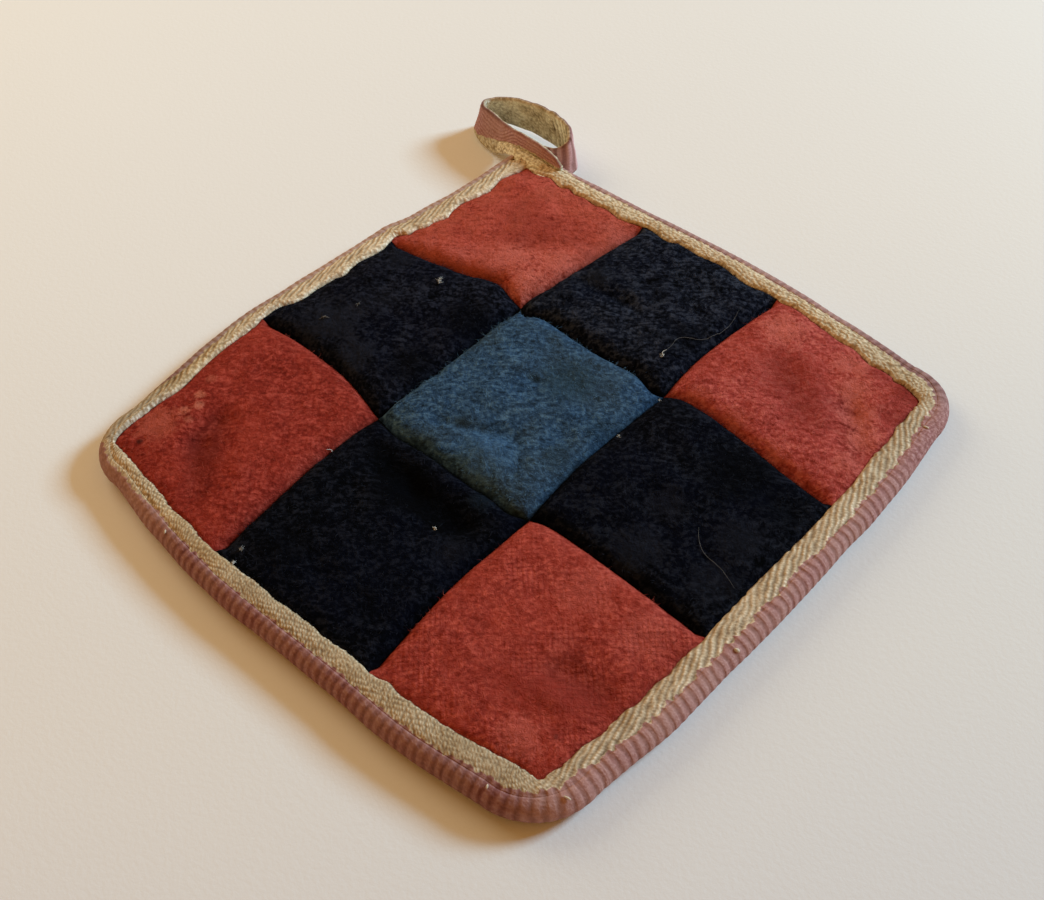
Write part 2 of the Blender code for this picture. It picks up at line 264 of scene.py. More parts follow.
@dataclass(frozen=True)
class SquarePlan:
    """The pot holder seen from above: four bulging sides, four wandering seams, rounded corners.

    Attributes:
        side_places: Places along a side at which its finished edge is given.
        seam_places: Places along a seam at which its line is given.
        rim: How far the line on top of the rim lies in from the finished edge.
        field_radius: Radius of the wool field's corners.
        least_radius: The least that a corner's radius shrinks to on an inset outline.
        rounds: How often a point is drawn towards the lines it lies between.
        sides: The four sides, by the way they face.
        seams: x of the seams along Y and y of those along X, at the seam places.
        seam_bumps: Short waves in the seams.
        corner_radii: Radius of each finished corner, by the signs of x and y there.
    """

    side_places: tuple[float, ...] = (-62.0, -42.0, -22.0, 0.0, 22.0, 42.0, 62.0)
    seam_places: tuple[float, ...] = (-74.0, -48.0, -28.0, 0.0, 26.0, 48.0, 74.0)
    rim: float = 3.6
    field_radius: float = 1.2
    least_radius: float = 2.0
    rounds: int = 6
    sides: dict[str, Side] = field(
        default_factory=lambda: {
            "far": Side(
                (82.7, 82.7, 83.1, 83.5, 82.5, 80.7, 78.2),
                (-68, -64.4, -59.6, -54.4, -52, -49, -45.5, -41, -37, -32, -25.5, -22.6, -15, -12, -8, -4,
                 3, 9.4, 13, 20, 23.5, 27, 34, 41, 45, 48, 52, 55, 57.6, 60.6, 62, 65, 70, 78),
                (5.5, 6.2, 5.0, 6.35, 5.2, 6.2, 5.6, 6.1, 5.6, 6.65, 5.2, 4.9, 5.9, 5.0, 5.2, 5.5,
                 4.8, 5.9, 6.05, 4.9, 5.2, 4.6, 5.1, 5.8, 5.9, 5.5, 6.35, 6.8, 6.05, 6.0, 6.9, 6.6, 8.2, 9.0),
                1.0,
            ),
            "near": Side(
                (80.2, 83.6, 85.4, 85.2, 84.6, 84.3, 81.6),
                (-76, -69.4, -64.4, -60.8, -56, -52.6, -49, -43.8, -39.6, -35.5, -31.4, -26, -20.8, -15.5,
                 -10, -5.5, 0, 5.9, 11.8, 17.6, 23.5, 27, 30.6, 33.5, 37.6, 46.5, 50, 58.8, 66, 78),
                (4.4, 4.0, 3.4, 3.2, 3.4, 3.8, 4.0, 3.7, 4.2, 4.6, 4.2, 4.4, 4.9, 5.1,
                 5.3, 5.0, 5.35, 5.5, 5.2, 5.6, 5.35, 5.2, 6.2, 5.8, 6.05, 6.2, 6.25, 6.6, 7.4, 8.0),
                0.3,
            ),
            "right": Side(
                (79.4, 81.8, 82.1, 82.3, 82.1, 81.4, 79.1),
                (-78, -70, -64.4, -58.5, -54.4, -50.8, -47.3, -43.8, -38.5, -34.4, -30.8, -26.7, -23.2,
                 -18.5, -9, -4.4, 18, 36, 44.7, 48, 53, 56, 59, 66, 78),
                (6.6, 6.2, 5.2, 5.3, 4.9, 5.5, 5.8, 5.3, 5.9, 5.35, 5.8, 5.5, 5.2,
                 5.65, 5.8, 5.9, 5.6, 5.7, 6.2, 5.6, 5.35, 5.8, 5.3, 5.2, 5.2),
                0.3,
            ),
            "left": Side(
                (79.6, 83.0, 85.3, 84.0, 83.0, 80.0, 78.1),
                (-78, -72, -69.4, -64.4, -58.5, -55.5, -52.6, -49, -45.5, -38.5, -35, -31.4, -25.5, -22,
                 -19.6, -16.7, -13.8, -11.4, -9, -6, -3, 3.5, 7, 10, 13.5, 17.6, 20.6, 23.5, 25.3, 27.6,
                 30.6, 33, 36, 38.8, 42.4, 44.7, 47.6, 50, 52.4, 56.5, 58.8, 61.2, 64, 66.5, 68.8, 71.8, 76),
                (4.6, 4.0, 3.4, 2.8, 3.0, 3.7, 4.4, 4.8, 4.5, 4.1, 4.3, 4.5, 4.8, 4.6,
                 4.0, 3.8, 3.8, 4.8, 5.6, 5.9, 5.5, 5.6, 6.6, 5.8, 5.5, 5.9, 5.9, 5.3, 4.6, 4.3,
                 5.9, 5.3, 6.05, 5.8, 7.0, 6.05, 5.2, 4.9, 5.35, 6.2, 6.5, 5.8, 5.1, 5.1, 5.8, 6.6, 6.4),
                0.9,
                (Bump(28.5, 3.2, 0.55), Bump(36, 4.0, -0.35)),
            ),
        }
    )
    seams: dict[str, tuple[float, ...]] = field(
        default_factory=lambda: {
            "left": (-25.9, -28.9, -29.6, -28.6, -29.0, -27.5, -24.7),
            "right": (25.0, 21.9, 21.9, 19.9, 20.4, 19.3, 21.9),
            "near": (-19.5, -18.9, -22.8, -23.8, -20.9, -20.9, -22.0),
            "far": (25.4, 30.1, 30.6, 29.8, 31.2, 29.5, 26.1),
        }
    )
    seam_bumps: dict[str, tuple[Bump, ...]] = field(
        default_factory=lambda: {
            "left": (Bump(33, 5, -1.3),),
            "right": (),
            "near": (Bump(-66, 10, 0.8), Bump(-21, 6, -1.2), Bump(7, 6, -0.7), Bump(16.5, 4.5, -2.1)),
            "far": (
                Bump(-58, 10, -1.1), Bump(-40, 4.5, 1.9), Bump(-25.5, 3.2, -2.4),
                Bump(-4, 16, -0.6), Bump(17.5, 4.5, -2.4), Bump(60, 14, -0.8),
            ),
        }
    )
    corner_radii: dict[tuple[int, int], float] = field(
        default_factory=lambda: {(-1, 1): 4.0, (1, 1): 15.0, (1, -1): 17.0, (-1, -1): 15.0}
    )

    def edge(self, side: str, along: Array) -> Array:
        """Distance of a side's finished edge from the centre, at places along it."""
        shape = self.sides[side]
        return smooth_curve(self.side_places, shape.edges, along) + bumps_at(shape.bulges, along)

    def margin(self, side: str, along: Array) -> Array:
        """How far in from the finished edge the tape's top margin reaches."""
        shape = self.sides[side]
        return self.rim - shape.slack + smooth_curve(shape.places, shape.reaches, along)

    def seam(self, name: str, along: Array) -> Array:
        """Where a seam runs, at places along it."""
        waves = bumps_at(self.seam_bumps[name], along)
        return smooth_curve(self.seam_places, self.seams[name], along) + waves

    def past_seams(self, x: Array, y: Array) -> dict[str, Array]:
        """How far points lie to the right of the seams along Y and beyond those along X."""
        runs = (("left", x, y), ("right", x, y), ("near", y, x), ("far", y, x))
        return {name: across - self.seam(name, along) for name, across, along in runs}

    def _lines(self, low: str, high: str, along: Array, inset: Inset) -> tuple[Array, ...]:
        """A side, the seam next to it, the other seam and the other side, at places along them."""
        near, far = (self.edge(name, along) - inset(name, along) for name in (low, high))
        return -near, self.seam(low, along), self.seam(high, along), far

    @staticmethod
    def _between(lines: Sequence[Array], step: Array) -> Array:
        """Places between four lines.

        Args:
            lines: Where the lines run, at each place.
            step: How many patches in from the first line each place lies.

        Returns:
            The places.
        """
        low = np.clip(step.astype(int), 0, 2)
        stacked = np.stack(np.broadcast_arrays(*lines))
        start = np.take_along_axis(stacked, low[None], axis=0)[0]
        end = np.take_along_axis(stacked, low[None] + 1, axis=0)[0]
        return start + (step - low) * (end - start)

    def square_point(
        self, column: Array, row: Array, inset: Inset, radius: float | None = None
    ) -> tuple[Array, Array]:
        """Points that many patches in from the near left corner of an inset outline.

        Args:
            column: Patches along X, from 0 to 3.
            row: Patches along Y, of the same shape.
            inset: The inset of the outline, from a side's name and places along it.
            radius: The outline's own corner radius; if None, the finished corners' less the inset.

        Returns:
            Their x and their y.
        """
        x, y = np.zeros_like(column), np.zeros_like(column)
        for _ in range(self.rounds):
            x = self._between(self._lines("left", "right", y, inset), column)
            y = self._between(self._lines("near", "far", x, inset), row)
        return self._round_corner(x, y, inset, radius)

    def _round_corner(
        self, x: Array, y: Array, inset: Inset, radius: float | None
    ) -> tuple[Array, Array]:
        """Draws points in to the rounded corner nearest to each.

        Args:
            x: The points' x.
            y: Their y.
            inset: As for square_point.
            radius: As for square_point.

        Returns:
            Their new x and y.
        """
        moved_x, moved_y = x.copy(), y.copy()
        for (sign_x, sign_y), finished in self.corner_radii.items():
            side_x, side_y = ("right" if sign_x > 0 else "left"), ("far" if sign_y > 0 else "near")
            inset_x, inset_y = inset(side_x, y), inset(side_y, x)
            own = np.maximum(finished - (inset_x + inset_y) / 2, self.least_radius)
            bend = own if radius is None else radius
            beyond_x = sign_x * x - (self.edge(side_x, y) - inset_x - bend)
            beyond_y = sign_y * y - (self.edge(side_y, x) - inset_y - bend)
            inside = (beyond_x > 0) & (beyond_y > 0) & (sign_x * x > 0) & (sign_y * y > 0)
            reach = np.maximum(np.hypot(beyond_x, beyond_y), TINY)
            pull = np.where(inside, 1 - np.maximum(beyond_x, beyond_y) / reach, 0.0)
            moved_x -= sign_x * beyond_x * pull
            moved_y -= sign_y * beyond_y * pull
        return moved_x, moved_y

    def field_inset(self, under_x: Array | float = 0.0, under_y: Array | float = 0.0) -> Inset:
        """The inset of the wool field's outline, less how far points lie under the tape.

        Args:
            under_x: How far under the tape of the left or right side.
            under_y: How far under the tape of the near or far side.

        Returns:
            The inset, from a side's name and places along it.
        """

        def inset(side: str, along: Array) -> Array:
            """The inset of one side at places along it."""
            under = under_x if side in ("left", "right") else under_y
            return self.margin(side, along) - under

        return inset

    def outline(self, inset: Inset, steps: int, radius: float | None) -> Array:
        """An inset outline, anticlockwise from the far left corner and closed on it.

        Args:
            inset: The inset, from a side's name and places along it.
            steps: Points to a side.
            radius: As for square_point.

        Returns:
            The points, one a row.
        """
        share = 3.0 * np.arange(steps) / steps
        zero = np.zeros(steps)
        columns = np.r_[zero, share, zero + 3, 3 - share, 0.0]
        rows = np.r_[3 - share, zero, share, zero + 3, 3.0]
        return np.stack(self.square_point(columns, rows, inset, radius), axis=1)


PLAN = SquarePlan()


# ---- mesh writing


class Draft:
    """The points, faces and noted values of one piece, gathered in millimetres."""

    def __init__(self) -> None:
        """Starts empty."""
        self.points: list[Array] = []
        self.faces: list[tuple[int, ...]] = []
        self.notes: dict[str, list[Array]] = {}
        self.count = 0

    def add_points(self, points: Array, notes: Notes | None = None) -> Array:
        """Adds points and the values noted at them.

        Args:
            points: The points, one a row.
            notes: For each note's name, one value or one row of three for each point.

        Returns:
            Their numbers in the mesh.
        """
        index = self.count + np.arange(len(points))
        self.points.append(np.asarray(points, float))
        for name, values in (notes or {}).items():
            self.notes.setdefault(name, []).append(np.asarray(values, float))
        self.count += len(points)
        return index

    def add_faces(self, corners: Array) -> None:
        """Adds faces from rows of point numbers."""
        self.faces.extend(map(tuple, corners.tolist()))

    def wall(self, first: Array, second: Array) -> None:
        """Adds the faces between two rings of points, from their numbers."""
        self.add_faces(np.stack([first, np.roll(first, -1), np.roll(second, -1), second], axis=1))

    def grid(
        self,
        points: Array,
        notes: Notes | None = None,
        closed_rows: bool = False,
        closed_columns: bool = False,
    ) -> Array:
        """Adds a grid of points and the faces between them.

        Args:
            points: Rows by columns by three.
            notes: Values at the points, of the same rows and columns.
            closed_rows: Whether the last row joins the first.
            closed_columns: Whether the last column joins the first.

        Returns:
            The points' numbers, rows by columns.
        """
        shape = points.shape[:2]
        flat = {name: note.reshape(-1, *note.shape[2:]) for name, note in (notes or {}).items()}
        index = self.add_points(points.reshape(-1, 3), flat).reshape(shape)
        ring = np.vstack([index, index[:1]]) if closed_rows else index
        ring = np.hstack([ring, ring[:, :1]]) if closed_columns else ring
        corners = (ring[:-1, :-1], ring[:-1, 1:], ring[1:, 1:], ring[1:, :-1])
        self.add_faces(np.stack(corners, axis=-1).reshape(-1, 4))
        return index

    def tube(self, points: Array, notes: Notes, ring: bool = False) -> Draft:
        """Adds a tube.

        Args:
            points: Rows along the tube by columns round it by three.
            notes: Values at the points.
            ring: Whether its end joins its start; if not, both ends are closed.

        Returns:
            The draft itself.
        """
        index = self.grid(points, notes, closed_rows=ring, closed_columns=True)
        if not ring:
            self.add_faces(index[[0, -1]])
        return self

    def make(self, name: str, material: Material) -> Piece:
        """Writes the piece as an object at the origin, in metres, with its faces pointing out.

        Args:
            name: The piece's name.
            material: Its finish.

        Returns:
            The new object.
        """
        mesh = bpy.data.meshes.new(name)
        mesh.from_pydata((np.vstack(self.points) * MM).tolist(), [], self.faces)
        for note, values in self.notes.items():
            joined = np.concatenate(values)
            kind, member = ("FLOAT_VECTOR", "vector") if joined.ndim == 2 else ("FLOAT", "value")
            mesh.attributes.new(note, kind, "POINT").data.foreach_set(member, joined.ravel())
        shell = bmesh.new()
        shell.from_mesh(mesh)
        bmesh.ops.recalc_face_normals(shell, faces=shell.faces)
        shell.to_mesh(mesh)
        shell.free()
        mesh.materials.append(material)
        mesh.shade_smooth()
        piece = bpy.data.objects.new(name, mesh)
        bpy.context.scene.collection.objects.link(piece)
        return piece


# ---- shader writing


Value = Union["Sock", float]


def operator(operation: str, swap: bool = False) -> Callable[[Sock, Value], Sock]:
    """A method of Sock for one sign of arithmetic, which puts the other value first if swapped."""
    return lambda self, other: self.maths(operation, other, swap=swap)


class Sock:
    """An output of a shader node, for use in ordinary arithmetic."""

    def __init__(self, shade: Shade, link: bpy.types.NodeSocket) -> None:
        """Wraps one socket of a material that is being written."""
        self.shade, self.link = shade, link

    def maths(self, operation: str, other: Value = 0.0, clamp: bool = False, swap: bool = False) -> Sock:
        """One Math node on this value and another, held from 0 to 1 if clamped."""
        inputs = dict(enumerate((other, self) if swap else (self, other)))
        return self.shade.node("ShaderNodeMath", inputs, operation=operation, use_clamp=clamp)

    __add__ = __radd__ = operator("ADD")
    __sub__, __rsub__ = operator("SUBTRACT"), operator("SUBTRACT", swap=True)
    __mul__ = __rmul__ = operator("MULTIPLY")
    __truediv__, __rtruediv__ = operator("DIVIDE"), operator("DIVIDE", swap=True)

    def __abs__(self) -> Sock:
        """The value without its sign."""
        return self.maths("ABSOLUTE")

    def held(self) -> Sock:
        """The value held from 0 to 1."""
        return self.maths("ADD", clamp=True)

    def wave(self, period: float) -> Sock:
        """A wave from 0 to 1 and back over one period, rounded at its top."""
        return abs((self * (math.pi / period)).maths("SINE"))

    def step(self, low: float, high: float) -> Sock:
        """A smooth step from 0 at low to 1 at high."""
        inputs = {"Value": self, "From Min": low, "From Max": high}
        return self.shade.node("ShaderNodeMapRange", inputs, interpolation_type="SMOOTHSTEP")


class Shade:
    """A material that is being written, node by node."""

    def __init__(self, name: str, roughness: float = 0.9, shine: float = 0.12) -> None:
        """Starts a material.

        Args:
            name: Its name.
            roughness: How dull it is all over.
            shine: How strongly it mirrors light.
        """
        self.material = bpy.data.materials.new(name)
        self.material.use_nodes = True
        self.tree = self.material.node_tree
        self.shader = self.tree.nodes["Principled BSDF"]
        self.shader.inputs["Roughness"].default_value = roughness
        self.shader.inputs["Specular IOR Level"].default_value = shine

    def node(
        self,
        kind: str,
        inputs: Mapping[int | str, object] | None = None,
        output: int | str = 0,
        **settings: object,
    ) -> Sock:
        """Adds one node.

        Args:
            kind: Its type.
            inputs: Values or links of its sockets, by name or number.
            output: Which of its outputs is wanted.
            settings: Its own settings, such as an operation.

        Returns:
            That output.
        """
        made = self.tree.nodes.new(kind)
        for name, value in settings.items():
            setattr(made, name, value)
        for name, value in (inputs or {}).items():
            if isinstance(value, Sock):
                self.tree.links.new(value.link, made.inputs[name])
            else:
                made.inputs[name].default_value = value
        return Sock(self, made.outputs[output])

    def place(self) -> Sock:
        """The point on the piece, in millimetres."""
        point = self.node("ShaderNodeTexCoord", output="Object")
        return self.node("ShaderNodeMapping", {"Vector": point, "Scale": (1 / MM,) * 3})

    def noise(
        self, place: Sock, scale: float, detail: float = 2.0, rough: float = 0.5, twist: float = 0.0
    ) -> Sock:
        """Smooth noise from about 0.2 to 0.8, with so many waves to the millimetre."""
        texture = {"Vector": place, "Scale": scale, "Detail": detail, "Roughness": rough}
        return self.node("ShaderNodeTexNoise", texture | {"Distortion": twist})

    def ramp(self, value: Sock, *stops: tuple[float, Colour]) -> Sock:
        """The colour that a value has on a ramp.

        Args:
            value: The value.
            stops: The ramp's positions and their colours.

        Returns:
            The colour.
        """
        ramp = self.node("ShaderNodeValToRGB", {"Fac": value})
        elements = ramp.link.node.color_ramp.elements
        while len(elements) < len(stops):
            elements.new(0.5)
        for element, (position, colour) in zip(elements, stops):
            element.position, element.color = position, (*colour, 1.0)
        return ramp

    def mix(self, share: Value, first: Sock | Colour, second: Sock | Colour, blend: str = "MIX") -> Sock:
        """Mixes two colours.

        Args:
            share: How much of the second.
            first: The colour at share 0.
            second: The colour at share 1.
            blend: How they are blended.

        Returns:
            The mixed colour.
        """
        first, second = ((*c, 1.0) if isinstance(c, tuple) else c for c in (first, second))
        settings = {"data_type": "RGBA", "blend_type": blend, "clamp_factor": True}
        return self.node("ShaderNodeMix", {0: share, 6: first, 7: second}, 2, **settings)

    def brighten(self, colour: Sock, factor: Sock) -> Sock:
        """A colour times a number that varies."""
        return self.node("ShaderNodeVectorMath", {"Vector": colour, "Scale": factor}, operation="SCALE")

    def near(self, place: Sock, spot: tuple[float, float, float], radius: float) -> Sock:
        """1 at a spot, falling smoothly to 0 at a radius from it."""
        distance = self.node("ShaderNodeVectorMath", {0: place, 1: spot}, "Value", operation="DISTANCE")
        return distance.step(radius, 0.0)

    def note(self, name: str, output: str = "Fac") -> Sock:
        """A value noted on the piece's points."""
        return self.node("ShaderNodeAttribute", None, output, attribute_name=name)

    def parts(self, vector: Sock) -> tuple[Sock, Sock, Sock]:
        """The three numbers of a vector."""
        split = self.node("ShaderNodeSeparateXYZ", {"Vector": vector})
        return tuple(Sock(self, output) for output in split.link.node.outputs)

    def joined(self, x: Sock, y: Sock, z: Sock) -> Sock:
        """A vector of three numbers."""
        return self.node("ShaderNodeCombineXYZ", {0: x, 1: y, 2: z})

    def finish(self, colour: Sock, height: Sock, depth: float) -> Material:
        """Wires the shader.

        Args:
            colour: Its base colour.
            height: The height of the fine relief, from 0 to 1.
            depth: What a height of 1 stands for, in millimetres.

        Returns:
            The finished material.
        """
        relief = self.node("ShaderNodeBump", {"Strength": 1.0, "Distance": depth * MM, "Height": height})
        self.tree.links.new(colour.link, self.shader.inputs["Base Color"])
        self.tree.links.new(relief.link, self.shader.inputs["Normal"])
        return self.material


# ---- finishes


@dataclass(frozen=True)
class Spot:
    """A mark on the cloth: its place, its radius, its colour and how strong it is."""

    place: tuple[float, float, float]
    radius: float
    colour: Colour
    strength: float


@dataclass(frozen=True)
class Wool:
    """Felted wool cloth with a short nap.

    Attributes:
        name: The material's name.
        deep: Colour down between the fibres.
        body: The cloth's main colour.
        tip: Colour where fibres catch the light.
        cast: A second colour that drifts through the cloth in soft clouds.
        cast_share: How much of it.
        weave: How far the weave shows through the nap.
        contrast: How much the nap's lights and darks differ.
        painted_trough_shade: Painted shade: how dark the wool is painted at the bottom of a trough and along
            seams.
        spots: Worn places and stains, and painted shade and highlights.
    """

    name: str
    deep: Colour
    body: Colour
    tip: Colour
    cast: Colour
    cast_share: float = 0.4
    weave: float = 0.25
    contrast: float = 1.0
    painted_trough_shade: float = 0.6
    spots: tuple[Spot, ...] = ()

    def make(self) -> Material:
        """Writes the material, which reads the note sunk on the piece: its share of painted shade.

        Returns:
            The material.
        """
        shade = Shade(self.name, roughness=0.95, shine=0.03)
        place = shade.place()
        x, y, z = shade.parts(place)
        swirl = shade.noise(place, 0.12, 2.0, 0.5) * 5.0
        brushed = shade.joined((x + y) * 0.3 + swirl, (x - y) * 0.75 + swirl, z * 0.75)
        broad = shade.noise(place, 0.055, 2.0, 0.5, 0.4)
        clumps = shade.noise(place, 0.24, 3.0, 0.6, 0.6)
        nap = shade.noise(place, 0.9, 2.0, 0.5, 0.3)
        streaks = shade.noise(brushed, 0.95, 2.0, 0.5, 0.5)
        curls = shade.noise(place, 0.55, 2.0, 0.6, 2.5)
        strands = (1.0 - abs(curls * 2.0 - 1.0) * 3.5).held()
        warp, weft = ((x + y) * DIAGONAL).wave(1.15), ((x - y) * DIAGONAL).wave(1.15)
        threads = (warp + weft) * 0.5
        showing = shade.noise(place, 0.09, 1.0, 0.5).step(0.42, 0.62) * self.weave
        level = 0.5 + (nap - 0.5) * (1.1 * self.contrast) + (clumps - 0.5) * (1.1 * self.contrast)
        level = level + (streaks - 0.5) * (1.4 * self.contrast) + (threads - 0.6) * showing
        colour = shade.ramp(level.held(), (0.0, self.deep), (0.5, self.body), (1.0, self.tip))
        clouds = broad.step(0.42, 0.66) * self.cast_share
        colour = shade.mix(clouds, colour, shade.mix(0.75, colour, self.cast))
        colour = shade.mix(strands * 0.5 * nap.step(0.42, 0.72), colour, self.tip)
        # Painted shade: darkens the wool towards a quarter of its deep colour in troughs, along seams and
        # where seams cross.
        painted_trough_shade = shade.note("sunk").maths("POWER", 2.0) * self.painted_trough_shade
        colour = shade.mix(painted_trough_shade, colour, tuple(part * 0.25 for part in self.deep))
        # Spots: worn places and stains, and painted shade and highlights on folds, ridges and seam edges.
        for spot in self.spots:
            ragged = shade.near(place, spot.place, spot.radius * 1.6)
            ragged = ragged + (clumps - 0.5) * 1.1 + (nap - 0.5) * 1.2
            within = shade.near(place, spot.place, spot.radius * 1.9)
            colour = shade.mix(ragged.step(0.3, 0.8) * within * spot.strength, colour, spot.colour)
        height = nap * 0.55 + clumps * 0.3 + strands * 0.25 + threads * showing * 0.6
        return shade.finish(colour, height, 0.5)


def chance(column: Array, row: Array, which: int) -> Array:
    """A random share for each cell of a lattice, the same on every run."""
    return np.sin(column * 12.9898 + row * 78.233 + 37.7 * which) * 43758.547 % 1


@dataclass(frozen=True)
class Stitch:
    """One manner of weave: bumps on a slanting lattice.

    Attributes:
        pitch: Distance between bumps along the tape.
        row: Distance between their rows, across it.
        lean: How far a row crosses the tape for each millimetre along it.
        loose: How far bumps stray from the lattice, as a share of its cell.
        length: How long a bump is, as a share of the pitch.
        breadth: How broad it is, as a share of a row.
        slant: How far a bump leans back for each millimetre across.
    """

    pitch: float
    row: float
    lean: float
    loose: float
    length: float
    breadth: float
    slant: float

    def level(self, along: Array, across: Array) -> Array:
        """Height of the bumps.

        Args:
            along: Distance along the tape.
            across: Distance across it.

        Returns:
            The height, from 0 in the pits to 1.
        """
        rows = (across - along * self.lean) / self.row
        columns = (along + self.slant * across) / self.pitch + 0.5 * np.floor(rows)
        best = np.zeros_like(rows)
        for shift_row, shift_column in product((-1, 0, 1), repeat=2):
            row, column = np.floor(rows) + shift_row, np.floor(columns) + shift_column
            stray_x, stray_y, tall = (chance(column, row, which) for which in range(3))
            aside = columns - column - 0.5 - self.loose * (stray_x - 0.5)
            above = rows - row - 0.5 - self.loose * (stray_y - 0.5)
            bump = np.exp(-((aside / self.length) ** 2) - (above / self.breadth) ** 2)
            best = np.maximum(best, bump * (0.72 + 0.28 * tall))
        return best


@dataclass(frozen=True)
class Tape:
    """Woven tape: a tan twill with raised stitches beside a pink band with ribs across it.

    Attributes:
        name: The material's name.
        cords: The weave where slanting cords show.
        knots: The weave where it has worn to loops.
        small: The finest weave.
        thread: Distance between threads along the tape.
        rib: Distance between the pink ribs, along the tape.
        dot: Distance between the small bumps on the pink, across it.
        waver: How the twill's rows waver.
        tan: The tan twill's colours, from its pits to its bumps.
        pale: The same where it is worn pale.
        rose: The pink band's.
        faded_rose: Its one colour where it has faded.
        rusty: What a full share of rust multiplies a colour by.
        greenish: What a full share below 0 multiplies it by.
    """

    name: str = "twill_tape_cloth"
    cords: Stitch = Stitch(1.9, 1.45, 0.44, 0.32, 0.95, 0.38, 0.3)
    knots: Stitch = Stitch(0.95, 0.95, 0.30, 0.90, 0.55, 0.52, 0.0)
    small: Stitch = Stitch(0.92, 1.30, 0.44, 0.50, 0.38, 0.50, 0.8)
    thread: float = 0.92
    rib: float = 2.40
    dot: float = 0.95
    waver: Layers = ((0.5, 5.0, 51), (0.2, 1.7, 55))
    tan: tuple[Colour, ...] = ((0.150, 0.086, 0.036), (0.42, 0.290, 0.155), (0.74, 0.58, 0.37))
    pale: tuple[Colour, ...] = ((0.22, 0.160, 0.105), (0.52, 0.415, 0.295), (0.84, 0.74, 0.60))
    rose: tuple[Colour, ...] = ((0.150, 0.044, 0.040), (0.30, 0.120, 0.115), (0.54, 0.31, 0.30))
    faded_rose: Colour = (0.52, 0.34, 0.27)
    rusty: Colour = (1.0, 0.83, 0.70)
    greenish: Colour = (0.85, 1.0, 1.12)

    def twill(self, along: Array, across: Array, corded: Array, knotted: Array) -> Array:
        """Height of the tan weave, from 0 to 1.

        Args:
            along: Distance along the tape.
            across: Distance across it.
            corded: How far the cords show, from 0 to 1.
            knotted: How far it has worn to loops, from 0 to 1.

        Returns:
            The height.
        """
        wavy = across + layered(along, across, self.waver)
        cords, small, knots = (kind.level(along, wavy) for kind in (self.cords, self.small, self.knots))
        woven = small * (1 - corded) + cords * corded * (0.72 + 0.28 * small)
        return woven * (1 - knotted) + (0.25 + 0.75 * knots) * knotted

    def ribs(self, along: Array, across: Array, strength: Array) -> Array:
        """Height of the pink band, from 0 to 1.

        Args:
            along: Distance along the tape.
            across: Distance across it.
            strength: How strongly its ribs show, from 0 to 1.

        Returns:
            The height.
        """
        waver = along + 0.35 * grain(along, across, 3.0, 52) + 0.25 * grain(along, across, 9.0, 53)
        rib = ease(0.0, 0.75, 0.5 - 0.5 * np.cos(2 * np.pi * waver / self.rib))
        dots = np.abs(np.sin(np.pi * along / self.thread))
        dots = dots * np.abs(np.sin(np.pi * (across + 0.3 * waver) / self.dot))
        dots = dots * (0.7 + 0.3 * grain(along, across, 1.2, 54))
        fuzz = 0.1 + 0.9 * self.knots.level(along, across)
        return strength * (0.68 * rib + 0.32 * dots) + (1 - strength) * fuzz

    def make(self) -> Material:
        """Writes the material, which reads the notes weave and wear on the piece.

        The note weave holds the share of pink, the height of the stitches and the share of pale wear.
        The note wear holds the tone, how rusty it is, less than 0 for a greener tan, and how far the
        pink has faded.

        Returns:
            The material.
        """
        shade = Shade(self.name, roughness=0.8)
        place = shade.place()
        fibre = shade.noise(place, 2.2, 3.0, 0.7, 0.5)
        drift = shade.noise(place, 0.13, 2.0, 0.5)
        pink, stitch, worn = shade.parts(shade.note("weave", "Vector"))
        tone, rust, faded = shade.parts(shade.note("wear", "Vector"))
        level = (stitch * 0.85 + (fibre - 0.5) * 0.55 + (drift - 0.5) * 0.3).held()
        tan, pale = (shade.ramp(level, *zip((0.08, 0.45, 0.88), tones)) for tones in (self.tan, self.pale))
        tan = shade.mix((worn + (drift - 0.5) * 0.5).held(), tan, pale)
        level = (stitch * 0.8 + (fibre - 0.42) * 0.65).held()
        rose = shade.ramp(level, *zip((0.08, 0.45, 0.90), self.rose))
        rose = shade.mix((faded + (drift - 0.5) * 0.5).held(), rose, self.faded_rose)
        colour = shade.brighten(shade.mix(pink.step(0.35, 0.65), tan, rose), tone)
        colour = shade.mix(rust.held(), colour, self.rusty, "MULTIPLY")
        colour = shade.mix((rust * -1.0).held(), colour, self.greenish, "MULTIPLY")
        return shade.finish(colour, stitch * 0.8 + fibre * 0.3, 0.3)


@dataclass(frozen=True)
class Fibre:
    """Loose fibre or thread: its name, its darker and its lighter colour."""

    name: str
    dark: Colour
    light: Colour

    def make(self) -> Material:
        """Writes the material, which reads the note shade on the piece.

        Returns:
            The material.
        """
        shade = Shade(self.name, roughness=0.85, shine=0.03)
        fine = shade.noise(shade.place(), 1.8, 2.0, 0.6)
        level = (shade.note("shade") * 0.85 + (fine - 0.5) * 0.3 + 0.03).held()
        colour = shade.ramp(level, (0.0, self.dark), (1.0, self.light))
        return shade.finish(colour, fine, 0.05)


@dataclass(frozen=True)
class BackCloth:
    """The plain wool cloth of the underside."""

    name: str = "back_cloth"

    def make(self) -> Material:
        """Writes the material.

        Returns:
            The material.
        """
        shade = Shade(self.name, roughness=0.95, shine=0.03)
        place = shade.place()
        x, y, _ = shade.parts(place)
        threads = x.wave(0.9) * y.wave(0.9)
        nap = shade.noise(place, 1.3, 4.0, 0.7, 0.5)
        clumps = shade.noise(place, 0.3, 3.0, 0.6, 0.6)
        level = (0.1 + threads * 0.3 + nap * 0.6 + (clumps - 0.5) * 0.7).held()
        colour = shade.ramp(
            level, (0.15, (0.006, 0.008, 0.014)), (0.55, (0.016, 0.020, 0.034)), (0.95, (0.05, 0.055, 0.075))
        )
        return shade.finish(colour, threads * 0.4 + nap * 0.5, 0.4)


